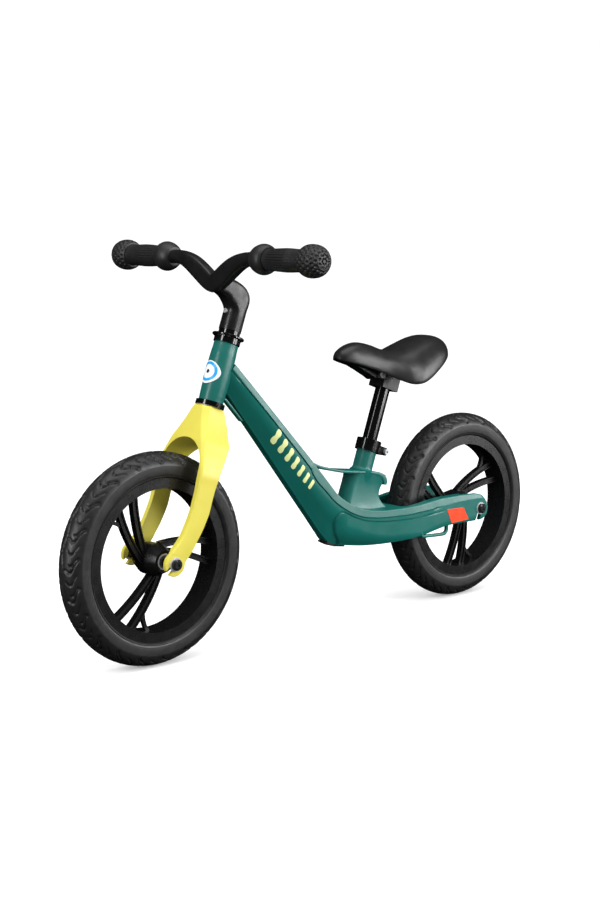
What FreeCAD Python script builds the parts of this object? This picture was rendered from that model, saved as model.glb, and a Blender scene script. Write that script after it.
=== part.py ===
import FreeCAD, Part
import math
import os
import re
import Sketcher
from FreeCAD import Placement, Rotation, Vector

# A child's balance bike, in millimetres.
# Frame of the model: +X points forward, +Y to the rider's left, +Z up.  The origin is on the ground,
# half way between the two wheel contacts.

doc = FreeCAD.newDocument("BalanceBike")

# ---------------------------------------------------------------------------------------------------
# Driving dimensions
# ---------------------------------------------------------------------------------------------------

SIZES = [
    # wheels
    ("wheelbase", 600.0, "distance between the axles"),
    ("tyre_radius", 145.0, "outer radius of the foam tyres"),
    ("tyre_half_width", 22.0, "half the width of a tyre"),
    ("tyre_shoulder_radius", 128.0, "where the flat sidewall meets the round tread"),
    ("tyre_seat_radius", 104.0, "floor of the rim's well"),
    ("rim_flange_radius", 111.0, "outer radius of the rim's flanges"),
    ("rim_inner_radius", 97.0, "inner radius of the rim"),
    ("rim_half_width", 18.5, "half the width over the rim's flanges"),
    ("rim_well_half_width", 15.0, "half the width of the rim's well"),
    ("hub_radius", 22.0, "hub at its middle"),
    ("hub_end_radius", 15.0, "hub at its ends"),
    ("hub_core_half_width", 10.0, "half the length of the hub's thick middle"),
    ("hub_half_width", 26.0, "half the length of the hub"),
    ("hub_bore_radius", 8.0, "bore between the two bearings"),
    ("spoke_web_depth", 6.0, "thickness of a spoke between its two ribs"),
    ("spoke_rib_depth", 10.0, "height of the ribs along a spoke's edges"),
    ("spoke_half_width", 4.4, "half the width of a spoke"),
    ("spoke_rib_half_width", 0.9, "half the width of a rib"),
    ("branch_half_width", 2.4, "half the width of the short branch beside a spoke"),
    # bearings and axles
    ("bearing_radius", 11.0, "outer radius of a wheel bearing"),
    ("bearing_width", 7.0, "width of a wheel bearing"),
    ("outer_race_bore", 8.8, "inner radius of a bearing's outer ring"),
    ("inner_race_radius", 6.2, "outer radius of a bearing's inner ring"),
    ("bearing_ball_radius", 1.25, "balls of a wheel bearing"),
    ("axle_radius", 4.0, "axle"),
    ("sleeve_radius", 6.0, "tube between the inner rings"),
    ("spacer_radius", 8.0, "spacer between a bearing and a dropout"),
    ("washer_radius", 9.5, "washer under an axle nut"),
    ("washer_thickness", 1.2, "washer under an axle nut"),
    ("nut_radius", 7.5, "domed axle nut"),
    ("nut_length", 5.0, "domed axle nut"),
    ("fork_dropout_inner", 44.0, "inner face of a fork dropout, from the middle plane"),
    ("fork_half_width", 50.0, "outer face of a fork leg, from the middle plane"),
    ("stay_dropout_inner", 46.0, "inner face of a rear dropout, from the middle plane"),
    ("stay_half_width", 52.0, "outer face of a chain stay, from the middle plane"),
    # steering
    ("lean", 20.0, "lean of the head tube and of the seat tube from the vertical, in degrees"),
    ("fork_rake", 26.6, "distance of the front axle in front of the steering axis"),
    ("crown_top", 218.0, "top of the fork crown, along the steering axis"),
    ("head_bottom", 225.0, "lower end of the head tube, along the steering axis"),
    ("head_top", 308.0, "upper end of the head tube, along the steering axis"),
    ("head_radius", 17.0, "head tube"),
    ("head_bore", 14.5, "bore of the head tube"),
    ("steerer_radius", 12.7, "steerer tube"),
    ("steerer_bore", 10.9, "bore of the steerer tube"),
    ("lower_cup_radius", 20.2, "lower headset cup"),
    ("upper_cup_radius", 18.5, "upper headset cup"),
    ("top_nut_radius", 22.3, "flanged nut above the upper cup"),
    ("top_nut_bottom", 316.0, "underside of the flanged nut, along the steering axis"),
    ("collar_bottom", 319.5, "underside of the collar, along the steering axis"),
    ("stem_bottom", 326.0, "lower end of the stem, along the steering axis"),
    ("headset_ball_radius", 1.45, "balls of the headset"),
    ("stem_radius", 15.7, "stem round the steerer tube"),
    ("bar_radius", 9.5, "ends of the handlebar, inside the grips"),
    ("bar_forward", 190.0, "the bar's axis, forward of the origin"),
    ("bar_height", 542.0, "the bar's axis, above the ground"),
    ("grip_inner_end", 86.0, "inboard end of a grip, from the middle plane"),
    ("grip_outer_end", 217.0, "outboard end of a grip, from the middle plane"),
    # seat
    ("seat_axis_forward", -105.4, "seat tube axis at seat_axis_height, forward of the origin"),
    ("seat_axis_height", 263.2, "top of the seat tube, above the ground"),
    ("seat_tube_radius", 15.0, "seat tube"),
    ("post_radius", 11.1, "seat post"),
    ("post_bore", 9.3, "bore of the seat post"),
    ("post_clearance", 0.05, "gap round the post in the seat tube"),
    ("post_below", 97.5, "length of post below the top of the seat tube"),
    ("post_above", 98.5, "length of post above the top of the seat tube"),
    # casting
    ("casting_wall", 4.0, "wall of the hollow frame casting"),
    ("stay_wall", 6.0, "outer wall of a chain stay"),
    ("groove_depth", 1.2, "depth of the decorative grooves"),
    ("groove_half_width", 0.8, "half the width of the decorative grooves"),
]

sheet = doc.addObject("Spreadsheet::Sheet", "Sizes")
for row, (alias, number, note) in enumerate(SIZES, start=1):
    sheet.set(f"A{row}", alias)
    sheet.set(f"B{row}", str(number))
    sheet.set(f"C{row}", note)
    sheet.setAlias(f"B{row}", alias)
doc.recompute()


def bound(expression):
    """The expression with the sheet's name written before each alias."""
    return re.sub(r"\b([a-z][a-z_]+)\b", r"Sizes.\1", expression)


def size(expression):
    """The value of an expression of the sheet's aliases."""
    return float(sheet.evalExpression(bound(expression)))


# ---------------------------------------------------------------------------------------------------
# Places that several pieces share
# ---------------------------------------------------------------------------------------------------

LEAN = math.radians(size("lean"))
FRONT_AXLE = Vector(size("wheelbase / 2"), 0, size("tyre_radius"))
REAR_AXLE = Vector(-size("wheelbase / 2"), 0, size("tyre_radius"))
STEERING_UP = Vector(-math.sin(LEAN), 0, math.cos(LEAN))
STEERING_FORWARD = Vector(math.cos(LEAN), 0, math.sin(LEAN))
TILT = Rotation(Vector(0, 1, 0), -size("lean"))

# The steering pieces are drawn upright: their Z is the steering axis and their X points forward, so
# the front axle lies at (fork_rake, 0, 0).
STEERING = Placement(FRONT_AXLE - STEERING_FORWARD * size("fork_rake"), TILT)
# The seat pieces are drawn upright too, with their origin at the top of the seat tube.
SEAT = Placement(Vector(size("seat_axis_forward"), 0, size("seat_axis_height")), TILT)
# Hardware on an axle is drawn along Z, which this turns on to Y.
ALONG_AXLE = Rotation(Vector(1, 0, 0), -90)
AT_REST = Placement()

pieces = []


def piece(obj, label, placement=AT_REST):
    """Names a finished sub-part and sets its place."""
    obj.Label = label
    obj.Placement = placement
    pieces.append(obj)
    return obj


# ---------------------------------------------------------------------------------------------------
# Drawing helpers
# ---------------------------------------------------------------------------------------------------


def vertex(sketch, index, x, y):
    """Pins the start of a sketch edge to a place given by two expressions."""
    for kind, coordinate in (("DistanceX", x), ("DistanceY", y)):
        row = sketch.addConstraint(Sketcher.Constraint(kind, -1, 1, index, 1, size(coordinate)))
        sketch.setExpression(f"Constraints[{row}]", bound(coordinate))


def pinned_outline(sketch, points):
    """A closed outline of straight lines whose corners follow the sheet."""
    corners = [Vector(size(x), size(y), 0) for x, y in points]
    count = len(corners)
    for index in range(count):
        sketch.addGeometry(Part.LineSegment(corners[index], corners[(index + 1) % count]), False)
    for index in range(count):
        sketch.addConstraint(Sketcher.Constraint("Coincident", index, 2, (index + 1) % count, 1))
    for index, (x, y) in enumerate(points):
        vertex(sketch, index, x, y)


def new_body(label):
    return doc.addObject("PartDesign::Body", label)


def origin_feature(body, role):
    return [feature for feature in body.Origin.OriginFeatures if feature.Role == role][0]


def body_sketch(body, name, plane):
    sketch = body.newObject("Sketcher::SketchObject", name)
    sketch.AttachmentSupport = (origin_feature(body, plane), [""])
    sketch.MapMode = "FlatFace"
    return sketch


def revolve_in(body, name, profile, plane="XY_Plane"):
    """Turns a closed outline of (radius, height) corners about its plane's vertical axis."""
    sketch = body_sketch(body, name + "_profile", plane)
    pinned_outline(sketch, profile)
    turn = body.newObject("PartDesign::Revolution", name + "_turn")
    turn.Profile = sketch
    turn.ReferenceAxis = (sketch, ["V_Axis"])
    turn.Angle = 360
    return turn


def turned(label, profile, placement):
    """A solid of revolution about its own Z axis, from (radius, height) corners."""
    body = new_body(label)
    revolve_in(body, label, profile, "XZ_Plane")
    return piece(body, label, placement)


def ring(label, outer, inner, bottom, top, placement):
    """A plain ring about its own Z axis."""
    return turned(label, [(inner, bottom), (outer, bottom), (outer, top), (inner, top)], placement)


def cylinder(name, radius, length, bottom="0"):
    """A Part cylinder about Z whose sizes follow the sheet."""
    solid = doc.addObject("Part::Cylinder", name)
    solid.setExpression("Radius", bound(radius))
    solid.setExpression("Height", bound(length))
    solid.setExpression("Placement.Base.z", bound(bottom))
    return solid


def cut(name, base, tool):
    result = doc.addObject("Part::Cut", name)
    result.Base = base
    result.Tool = tool
    return result


def group(name, parts):
    result = doc.addObject("Part::Compound", name)
    result.Links = parts
    return result


def shaped(name, shape):
    """A Part feature for a shape that no primitive or sketch gives."""
    result = doc.addObject("Part::Feature", name)
    result.Shape = shape
    return result


def side_face(points):
    """A face in the middle plane from (x, z) corners."""
    corners = [Vector(x, 0, z) for x, z in points]
    return Part.Face(Part.makePolygon(corners + corners[:1]))


def slab(face, low, high):
    """A side face made solid between two distances from the middle plane."""
    return face.translated(Vector(0, low, 0)).extrude(Vector(0, high - low, 0))


def both_sides(shape):
    """A shape and its mirror image in the middle plane."""
    return [shape, shape.mirror(Vector(0, 0, 0), Vector(0, 1, 0))]


# ---------------------------------------------------------------------------------------------------
# Wheels
# ---------------------------------------------------------------------------------------------------

SPOKE_PAIRS = 3
# Centre lines of the two spokes of a pair and of the short branch beside the second one, in the
# wheel's plane, with the middle of the pair along +X: hub end, middle and rim end.
LEADING_SPOKE = [(17.8, -9.1), (55.0, -1.4), (98.5, 14.8)]
TRAILING_SPOKE = [(9.1, -17.8), (51.0, -21.0), (98.5, -14.8)]
BRANCH = [(66.0, -21.0), (78.5, -30.0), (88.0, -44.0)]
FRONT_PAIR_ANGLE = -57.0
REAR_PAIR_ANGLE = -86.0


def arc_band(points, angle, offset, half_width):
    """Two concentric arcs and two end lines along a centre line turned by an angle."""
    turn = Rotation(Vector(0, 0, 1), angle)
    start, middle, end = [turn.multVec(Vector(x, y, 0)) for x, y in points]
    circle = Part.Arc(start, middle, end).toShape().Curve
    centre = circle.Center

    def at(point, distance):
        outward = (point - centre).normalize()
        return centre + outward * (circle.Radius + distance)

    low = [at(point, offset - half_width) for point in (start, middle, end)]
    high = [at(point, offset + half_width) for point in (start, middle, end)]
    return [
        Part.Arc(low[0], low[1], low[2]),
        Part.LineSegment(low[2], high[2]),
        Part.Arc(high[2], high[1], high[0]),
        Part.LineSegment(high[0], low[0]),
    ]


def spoke_pad(body, name, bands, depth):
    """A pad, even about the wheel's middle plane, from closed bands."""
    sketch = body_sketch(body, name + "_outline", "XZ_Plane")
    for band in bands:
        sketch.addGeometry(band, False)
    pad = body.newObject("PartDesign::Pad", name)
    pad.Profile = sketch
    pad.Midplane = True
    pad.setExpression("Length", bound(depth))
    return pad


def wheel_rim(label, centre, pair_angle):
    """Rim, hub and three pairs of curved, ribbed spokes, moulded in one piece."""
    body = new_body(label)
    rim_profile = [
        ("rim_inner_radius", "-rim_half_width"),
        ("rim_flange_radius", "-rim_half_width"),
        ("rim_flange_radius", "-rim_well_half_width"),
        ("tyre_seat_radius", "-rim_well_half_width"),
        ("tyre_seat_radius", "rim_well_half_width"),
        ("rim_flange_radius", "rim_well_half_width"),
        ("rim_flange_radius", "rim_half_width"),
        ("rim_inner_radius", "rim_half_width"),
    ]
    hub_profile = [
        ("hub_bore_radius", "bearing_width - hub_half_width"),
        ("bearing_radius", "bearing_width - hub_half_width"),
        ("bearing_radius", "-hub_half_width"),
        ("hub_end_radius", "-hub_half_width"),
        ("hub_radius", "-hub_core_half_width"),
        ("hub_radius", "hub_core_half_width"),
        ("hub_end_radius", "hub_half_width"),
        ("bearing_radius", "hub_half_width"),
        ("bearing_radius", "hub_half_width - bearing_width"),
        ("hub_bore_radius", "hub_half_width - bearing_width"),
    ]
    revolve_in(body, f"{label}_hub", hub_profile)
    rib = size("spoke_rib_half_width")
    half_width = size("spoke_half_width")
    rib_offset = half_width - rib
    pads = []
    for name, line in (("leading", LEADING_SPOKE), ("trailing", TRAILING_SPOKE)):
        web = arc_band(line, pair_angle, 0, half_width)
        pads.append(spoke_pad(body, f"{label}_{name}_web", [web], "spoke_web_depth"))
        for side in (-1, 1):
            edge = arc_band(line, pair_angle, side * rib_offset, rib)
            pads.append(spoke_pad(body, f"{label}_{name}_rib", [edge], "spoke_rib_depth"))
    branch = arc_band(BRANCH, pair_angle, 0, size("branch_half_width"))
    pads.append(spoke_pad(body, f"{label}_branch", [branch], "spoke_web_depth"))
    pattern = body.newObject("PartDesign::PolarPattern", f"{label}_pairs")
    pattern.Originals = pads
    pattern.Axis = (origin_feature(body, "Y_Axis"), [""])
    pattern.Angle = 360
    pattern.Occurrences = SPOKE_PAIRS
    body.Tip = pattern
    body.Tip = revolve_in(body, f"{label}_band", rim_profile)
    return piece(body, label, Placement(centre, Rotation()))


def tyre(label, centre):
    """Solid foam tyre that fills the rim's well and reaches out over its flanges."""
    body = new_body(label)
    sketch = body_sketch(body, label + "_profile", "XY_Plane")
    lip = "tyre_half_width - 2.4"
    lip_top = "rim_flange_radius + 2.5"
    corners = [
        ("tyre_shoulder_radius", "-tyre_half_width"),
        (lip_top, "1.2 - tyre_half_width"),
        ("rim_flange_radius", "2.4 - tyre_half_width"),
        ("rim_flange_radius", "-rim_well_half_width"),
        ("tyre_seat_radius", "-rim_well_half_width"),
        ("tyre_seat_radius", "rim_well_half_width"),
        ("rim_flange_radius", "rim_well_half_width"),
        ("rim_flange_radius", lip),
        (lip_top, "tyre_half_width - 1.2"),
        ("tyre_shoulder_radius", "tyre_half_width"),
    ]
    places = [Vector(size(x), size(y), 0) for x, y in corners]
    for start, end in zip(places, places[1:]):
        sketch.addGeometry(Part.LineSegment(start, end), False)
    crown = Vector(size("tyre_radius"), 0, 0)
    sketch.addGeometry(Part.Arc(places[-1], crown, places[0]), False)
    turn = body.newObject("PartDesign::Revolution", label + "_turn")
    turn.Profile = sketch
    turn.ReferenceAxis = (sketch, ["V_Axis"])
    turn.Angle = 360
    return piece(body, label, Placement(centre, Rotation()))


BALLS_PER_BEARING = 7
BALL_CIRCLE = 7.5


def wheel_bearings(prefix, centre):
    """The rings and balls of a wheel's two bearings, one at each end of the hub."""
    place = Placement(centre, ALONG_AXLE)
    for name, outer, inner in (
        ("bearing_outer_rings", "bearing_radius", "outer_race_bore"),
        ("bearing_inner_rings", "inner_race_radius", "axle_radius"),
    ):
        rings = []
        for side, bottom in (("left", "hub_half_width - bearing_width"), ("right", "-hub_half_width")):
            solid = cylinder(f"{prefix}_{side}_{name}_blank", outer, "bearing_width", bottom)
            hole = cylinder(f"{prefix}_{side}_{name}_hole", inner, "bearing_width", bottom)
            rings.append(cut(f"{prefix}_{side}_{name}_ring", solid, hole))
        piece(group(f"{prefix}_{name}_group", rings), f"{prefix}_{name}", place)
    balls = []
    for side in (-1, 1):
        for index in range(BALLS_PER_BEARING):
            angle = 2 * math.pi * index / BALLS_PER_BEARING
            ball = doc.addObject("Part::Sphere", f"{prefix}_ball")
            ball.setExpression("Radius", bound("bearing_ball_radius"))
            height = side * size("hub_half_width - bearing_width / 2")
            ball.Placement.Base = Vector(
                BALL_CIRCLE * math.cos(angle), BALL_CIRCLE * math.sin(angle), height
            )
            balls.append(ball)
    piece(group(f"{prefix}_balls_group", balls), f"{prefix}_bearing_balls", place)


def mirrored_rings(label, outer, inner, start, length, place):
    """Two equal rings on an axle, one at each side of the wheel."""
    rings = []
    for side, bottom in (("left", start), ("right", f"-({start}) - ({length})")):
        solid = cylinder(f"{label}_{side}_blank", outer, length, bottom)
        hole = cylinder(f"{label}_{side}_hole", inner, length, bottom)
        rings.append(cut(f"{label}_{side}_ring", solid, hole))
    return piece(group(label + "_group", rings), label, place)


NUT_CHAMFER = 1.5
NUT_TOP_DRAW_IN = 2.5
NUT_DIMPLE_RADIUS = 2.6
NUT_DIMPLE_DEPTH = 1.4
NUT_CAP = 2.0


def domed_nut(start):
    """A capped axle nut from its flat face outwards, with a shallow dimple in its end."""
    end = start + size("nut_length")
    axle = size("axle_radius")
    radius = size("nut_radius")
    profile = [
        Vector(axle, 0, start),
        Vector(radius, 0, start),
        Vector(radius, 0, end - NUT_CHAMFER),
        Vector(radius - NUT_TOP_DRAW_IN, 0, end),
        Vector(NUT_DIMPLE_RADIUS, 0, end),
        Vector(NUT_DIMPLE_RADIUS, 0, end - NUT_DIMPLE_DEPTH),
        Vector(0, 0, end - NUT_DIMPLE_DEPTH),
        Vector(0, 0, end - NUT_CAP),
        Vector(axle, 0, end - NUT_CAP),
    ]
    outline = Part.Face(Part.makePolygon(profile + profile[:1]))
    return outline.revolve(Vector(0, 0, 0), Vector(0, 0, 1), 360)


def axle_set(prefix, centre, dropout_inner, dropout_outer):
    """Axle, sleeve, spacers, washers and domed nuts of one wheel."""
    place = Placement(centre, ALONG_AXLE)
    washer_outer = f"{dropout_outer} + washer_thickness"
    reach = f"({washer_outer} + nut_length - {NUT_CAP})"
    axle = cylinder(f"{prefix}_axle_rod", "axle_radius", f"2 * {reach}", f"-{reach}")
    piece(axle, f"{prefix}_axle", Placement(centre, ALONG_AXLE))
    axle.setExpression("Placement.Base.z", None)
    axle.Placement = Placement(centre + Vector(0, -size(reach), 0), ALONG_AXLE)
    sleeve_end = "(hub_half_width - bearing_width)"
    sleeve_profile = [
        ("axle_radius", f"-{sleeve_end}"),
        ("sleeve_radius", f"-{sleeve_end}"),
        ("sleeve_radius", sleeve_end),
        ("axle_radius", sleeve_end),
    ]
    turned(f"{prefix}_axle_sleeve", sleeve_profile, place)
    spacer_length = f"{dropout_inner} - hub_half_width"
    spacer_name = f"{prefix}_axle_spacers"
    mirrored_rings(spacer_name, "spacer_radius", "axle_radius", "hub_half_width", spacer_length, place)
    washer_name = f"{prefix}_axle_washers"
    mirrored_rings(
        washer_name, "washer_radius", "axle_radius", dropout_outer, "washer_thickness", place
    )
    nut = domed_nut(size(washer_outer))
    other_nut = nut.mirror(Vector(0, 0, 0), Vector(0, 0, 1))
    nuts = [shaped(f"{prefix}_nut", solid) for solid in (nut, other_nut)]
    piece(group(f"{prefix}_nuts_group", nuts), f"{prefix}_axle_nuts", place)


def wheel(prefix, centre, pair_angle, dropout_inner, dropout_outer):
    tyre(f"{prefix}_tyre", centre)
    wheel_rim(f"{prefix}_rim", centre, pair_angle)
    wheel_bearings(prefix, centre)
    axle_set(prefix, centre, dropout_inner, dropout_outer)


wheel("front", FRONT_AXLE, FRONT_PAIR_ANGLE, "fork_dropout_inner", "fork_half_width")
wheel("rear", REAR_AXLE, REAR_PAIR_ANGLE, "stay_dropout_inner", "stay_half_width")

# ---------------------------------------------------------------------------------------------------
# Frame casting
# ---------------------------------------------------------------------------------------------------

# Side view of the one-piece casting, (forward, up), from the head tube down the top edge, back along
# the chain stay, round the rear dropout and forward along the underside.
TOP_EDGE = [(168, 398), (126, 353), (37, 260), (13.5, 234.3), (-2.5, 215.6), (-18.5, 197)]
TOP_EDGE += [(-33, 185.7), (-50, 175.5), (-72, 168.8), (-96, 165.2), (-121, 164.2), (-160, 166)]
TOP_EDGE += [(-205, 170.5), (-248, 171), (-290, 169)]
REAR_END = [(-304.5, 165), (-313.5, 155), (-316.5, 145), (-314, 134), (-307, 128), (-296, 126.5)]
UNDERSIDE = [(-228, 127), (-200, 123.5), (-175, 119), (-149, 116), (-110, 113.6), (-75, 113.6)]
UNDERSIDE += [(-46, 116.4), (-25, 119.6), (-12, 126), (0, 139), (24, 169), (136, 309.5), (188, 374)]
# Half the casting's width at a distance forward of the origin.
HALF_WIDTHS = [(200, 16.5), (170, 18.5), (120, 21), (40, 21.5), (10, 23), (-20, 26.5), (-50, 31)]
HALF_WIDTHS += [(-80, 36), (-110, 41), (-150, 48), (-190, 51.4), (-215, 52), (-320, 52)]
# The slot that the rear wheel turns in.
YOKE_FRONT = -141.0
STAY_INNER = 38.0


def plan_face(widths):
    """A face in the ground plane, even about the middle, from (x, half width) corners."""
    left = [Vector(x, y, 0) for x, y in widths]
    right = [Vector(x, -y, 0) for x, y in reversed(widths)]
    corners = left + right
    return Part.Face(Part.makePolygon(corners + corners[:1]))


PLAN_TOP = 420.0
HALF_SPAN = 60.0
wall = size("casting_wall")
side = side_face(TOP_EDGE + REAR_END + UNDERSIDE)
solid_casting = slab(side, -HALF_SPAN, HALF_SPAN).common(
    plan_face(HALF_WIDTHS).extrude(Vector(0, 0, PLAN_TOP))
)

# Along the beam the flanks draw in below their middle to a narrow keel.  Each lower flank is a plane
# through two points of the keel's edge and one of the flank's.
KEEL_EDGE = [(136, 309.5), (24, 169)]
KEEL_HALF_WIDTH = 6.0
FLANK_EDGE = (62, 21.3, 253)
PANEL_FRONT = -14.0


def half_space(corner, first, second, outside):
    """A large box on one side of the plane through three points."""
    normal = (first - corner).cross(second - corner)
    if normal.dot(outside) < 0:
        normal = normal * -1
    box = Part.makeBox(600, 600, 100, Vector(-300, -300, 0))
    box.Placement = Placement(corner, Rotation(Vector(0, 0, 1), normal))
    return box


keel_upper, keel_lower = [Vector(x, KEEL_HALF_WIDTH, z) for x, z in KEEL_EDGE]
lower_flank = half_space(keel_upper, keel_lower, Vector(*FLANK_EDGE), Vector(0, 1, 0))
beam_room = Part.makeBox(220, 2 * HALF_SPAN, 330, Vector(PANEL_FRONT, -HALF_SPAN, 60))
# Behind the panel's front the belly draws in below like a hull, less and less towards the stays.
HULL = [(-14, 9.5, 126), (-120, 40, 113.6), (-14, 26, 146)]
hull_flank = half_space(*[Vector(*point) for point in HULL], Vector(0, 1, -1))
hull_room = Part.makeBox(125, 2 * HALF_SPAN, 60, Vector(PANEL_FRONT - 125, -HALF_SPAN, 100))
lower_flanks = both_sides(lower_flank.common(beam_room)) + both_sides(hull_flank.common(hull_room))

# Inside: the casting is hollow, and the core leaves through the front of the wheel slot.
CORE_FRONT = [(150, 14), (120, 17)]
CORE_REAR = -150
core_side = side.makeOffset2D(-wall)
core_widths = [(x, y - wall) for x, y in HALF_WIDTHS if CORE_REAR < x < CORE_FRONT[-1][0]]
core_widths.append((CORE_REAR, core_widths[-1][1]))
core = slab(core_side, -HALF_SPAN, HALF_SPAN).common(
    plan_face(CORE_FRONT + core_widths).extrude(Vector(0, 0, PLAN_TOP))
)
keel_wall = Vector(-wall * 0.784, 0, wall * 0.62)
core_flank = lower_flank.translated(keel_wall - Vector(0, 0.6 * wall, 0)).common(beam_room)
core = core.cut([Part.makeBox(200, 120, 200, Vector(YOKE_FRONT + wall - 200, -60, 60))])
core_hull = hull_flank.translated(Vector(0, -wall * 0.78, wall * 0.62)).common(hull_room)
core = core.cut(both_sides(core_flank) + both_sides(core_hull))
core_exit = Part.makeBox(30, 50, 28, Vector(YOKE_FRONT - 10, -25, 127))

# The slot for the wheel, with rounded front corners, and the channel inside each stay.
SLOT_CORNER = 8.0
SLOT_HEIGHT = 300.0
slot_corner_y = STAY_INNER - SLOT_CORNER
slot = Part.makeBox(200, 2 * STAY_INNER, SLOT_HEIGHT)
slot.translate(Vector(YOKE_FRONT - SLOT_CORNER - 200, -STAY_INNER, 50))
slot_front = Part.makeBox(SLOT_CORNER, 2 * slot_corner_y, SLOT_HEIGHT)
slot_front.translate(Vector(YOKE_FRONT - SLOT_CORNER, -slot_corner_y, 50))
slot_corners = [
    Part.makeCylinder(SLOT_CORNER, SLOT_HEIGHT, Vector(YOKE_FRONT - SLOT_CORNER, side_y, 50))
    for side_y in (-slot_corner_y, slot_corner_y)
]
wheel_slot = slot.fuse([slot_front] + slot_corners)
CHANNEL = [(-262, 0), (-160, 0), (-160, 300), (-262, 300)]
CHANNEL_INNER = 30.0
channel_side = core_side.common(side_face(CHANNEL))
channel_outer = size("stay_half_width - stay_wall")
channels = both_sides(slab(channel_side, CHANNEL_INNER, channel_outer))

# Room at the rear end for the dropout plates.
dropout_room = Part.makeBox(70, 2 * size("stay_dropout_inner"), 80)
dropout_room.translate(REAR_AXLE + Vector(-40, -size("stay_dropout_inner"), -40))

# Seat tube and the gusset in front of and behind it.
GUSSET = [(24, 249), (0, 238.6), (-18, 234), (-36, 229.6), (-58, 226.5), (-92, 222.5), (-122, 216.5)]
GUSSET += [(-130, 211), (-125, 203), (-113, 184), (-114, 172), (-126, 160), (-100, 140), (0, 140)]
GUSSET += [(20, 190)]
GUSSET_WINDOW = [(10, 233), (-3, 216), (-19, 197.5), (-34, 187.5), (-46, 181), (-50, 194)]
GUSSET_WINDOW += [(-59, 222), (-20, 228.5)]
GUSSET_HALF = 16.0
gusset = slab(side_face(GUSSET), -GUSSET_HALF, GUSSET_HALF)
window = slab(side_face(GUSSET_WINDOW), -HALF_SPAN, HALF_SPAN)
# The gusset's walls draw in below its top flange.
WAIST = [(-40, 220), (-118, 210), (-121, 204), (-108, 183), (-110, 172), (-40, 172)]
WAIST_HALF = 12.5
waist = slab(side_face(WAIST), WAIST_HALF, 30)
TUBE_BOTTOM = -137.5
BORE_DEPTH = 151.5
seat_tube = Part.makeCylinder(size("seat_tube_radius"), -TUBE_BOTTOM, Vector(0, 0, TUBE_BOTTOM))
seat_bore_radius = size("post_radius + post_clearance")
seat_bore = Part.makeCylinder(seat_bore_radius, BORE_DEPTH + 10, Vector(0, 0, -BORE_DEPTH))
SLIT = 2.2
clamp_slit = Part.makeBox(30, SLIT, 24, Vector(-30, -SLIT / 2, -22))
for part in (seat_tube, seat_bore, clamp_slit):
    part.Placement = SEAT.multiply(part.Placement)

# Head tube, slightly fuller at its middle than a plain cylinder.
HEAD_BULGE = 1.0
HEAD_END = 5.0
head_radius = size("head_radius")
head_low = size("head_bottom")
head_high = size("head_top")
head_corners = [
    Vector(0, 0, head_high),
    Vector(0, 0, head_low),
    Vector(head_radius, 0, head_low),
    Vector(head_radius, 0, head_low + HEAD_END),
]
belly = Vector(head_radius + HEAD_BULGE, 0, (head_low + head_high) / 2)
head_shoulder = Vector(head_radius, 0, head_high - HEAD_END)
head_rim = Vector(head_radius, 0, head_high)
head_edges = [Part.LineSegment(a, b) for a, b in zip(head_corners, head_corners[1:])]
head_edges.append(Part.Arc(head_corners[-1], belly, head_shoulder))
head_edges.append(Part.LineSegment(head_shoulder, head_rim))
head_edges.append(Part.LineSegment(head_rim, head_corners[0]))
head_wire = Part.Wire([edge.toShape() for edge in head_edges])
upright_head = Part.Face(head_wire).revolve(Vector(0, 0, 0), Vector(0, 0, 1), 360)
head_tube = upright_head.copy()
head_bore = Part.makeCylinder(size("head_bore"), 2 * head_high, Vector(0, 0, 0))
# Nothing of the beam may stand past the head tube's ends or in front of it.
above_head = Part.makeBox(200, 200, 60, Vector(-100, -100, head_high))
below_head = Part.makeBox(70, 200, 60, Vector(-16, -100, head_low - 60))
before_head = Part.makeBox(100, 200, 200, Vector(0, -100, head_low - 40))
for part in (head_tube, head_bore, above_head, below_head, before_head):
    part.Placement = STEERING.multiply(part.Placement)

# Loops for a carrying strap: one under each stay and one under the beam behind the head tube.
STAY_LOOP = [(-171, 122), (-170, 113.4), (-221, 112.6), (-227, 116.5), (-228.5, 130), (-171, 130)]
STAY_LOOP_SLOT = [(-176, 119.2), (-178, 124), (-218, 124.4), (-220, 117.6), (-214, 117.2)]
BEAM_LOOP = [(184, 356), (176, 347), (172.4, 345.3), (146.3, 317.4), (141, 314.6), (138, 318), (172, 362)]
BEAM_LOOP_SLOT = [(175, 356.2), (174, 350), (147.5, 321.6), (144, 321), (147, 326)]
STAY_LOOP_SPAN = (45.0, 51.0)
BEAM_LOOP_HALF = 4.0
loops = both_sides(slab(side_face(STAY_LOOP), *STAY_LOOP_SPAN))
loops.append(slab(side_face(BEAM_LOOP), -BEAM_LOOP_HALF, BEAM_LOOP_HALF))
loop_slots = both_sides(slab(side_face(STAY_LOOP_SLOT), CHANNEL_INNER + 10, HALF_SPAN))
loop_slots.append(slab(side_face(BEAM_LOOP_SLOT), -KEEL_HALF_WIDTH - 4, KEEL_HALF_WIDTH + 4))

# Grooves: thin strips of the side view, cut only as deep as the groove below the flat sides.
GROOVE_EDGE = [(161, 375.5), (44.5, 253), (30, 233), (19, 218), (4, 203), (-9, 189), (-25, 176.6)]
GROOVE_EDGE += [(-41, 167), (-57, 160), (-73, 156.3), (-96, 153.7), (-121, 153.2), (-145, 153.3)]
GROOVE_EDGE += [(-180, 155.5), (-228, 158.5)]
GROOVE_PANEL = [(-15, 126), (-14.5, 152), (-16.3, 163), (-19.5, 168), (-25, 170), (-31.3, 168.5)]
GROOVE_PANEL += [(-46, 160.5), (-65, 153.4), (-85, 149.5), (-110, 147.3), (-145, 147), (-180, 148.5)]
GROOVE_PANEL += [(-228, 152.5)]


def through_hole(radius, x, z):
    """A cylinder across the whole width."""
    return Part.makeCylinder(radius, 2 * HALF_SPAN, Vector(x, -HALF_SPAN, z), Vector(0, 1, 0))


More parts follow.
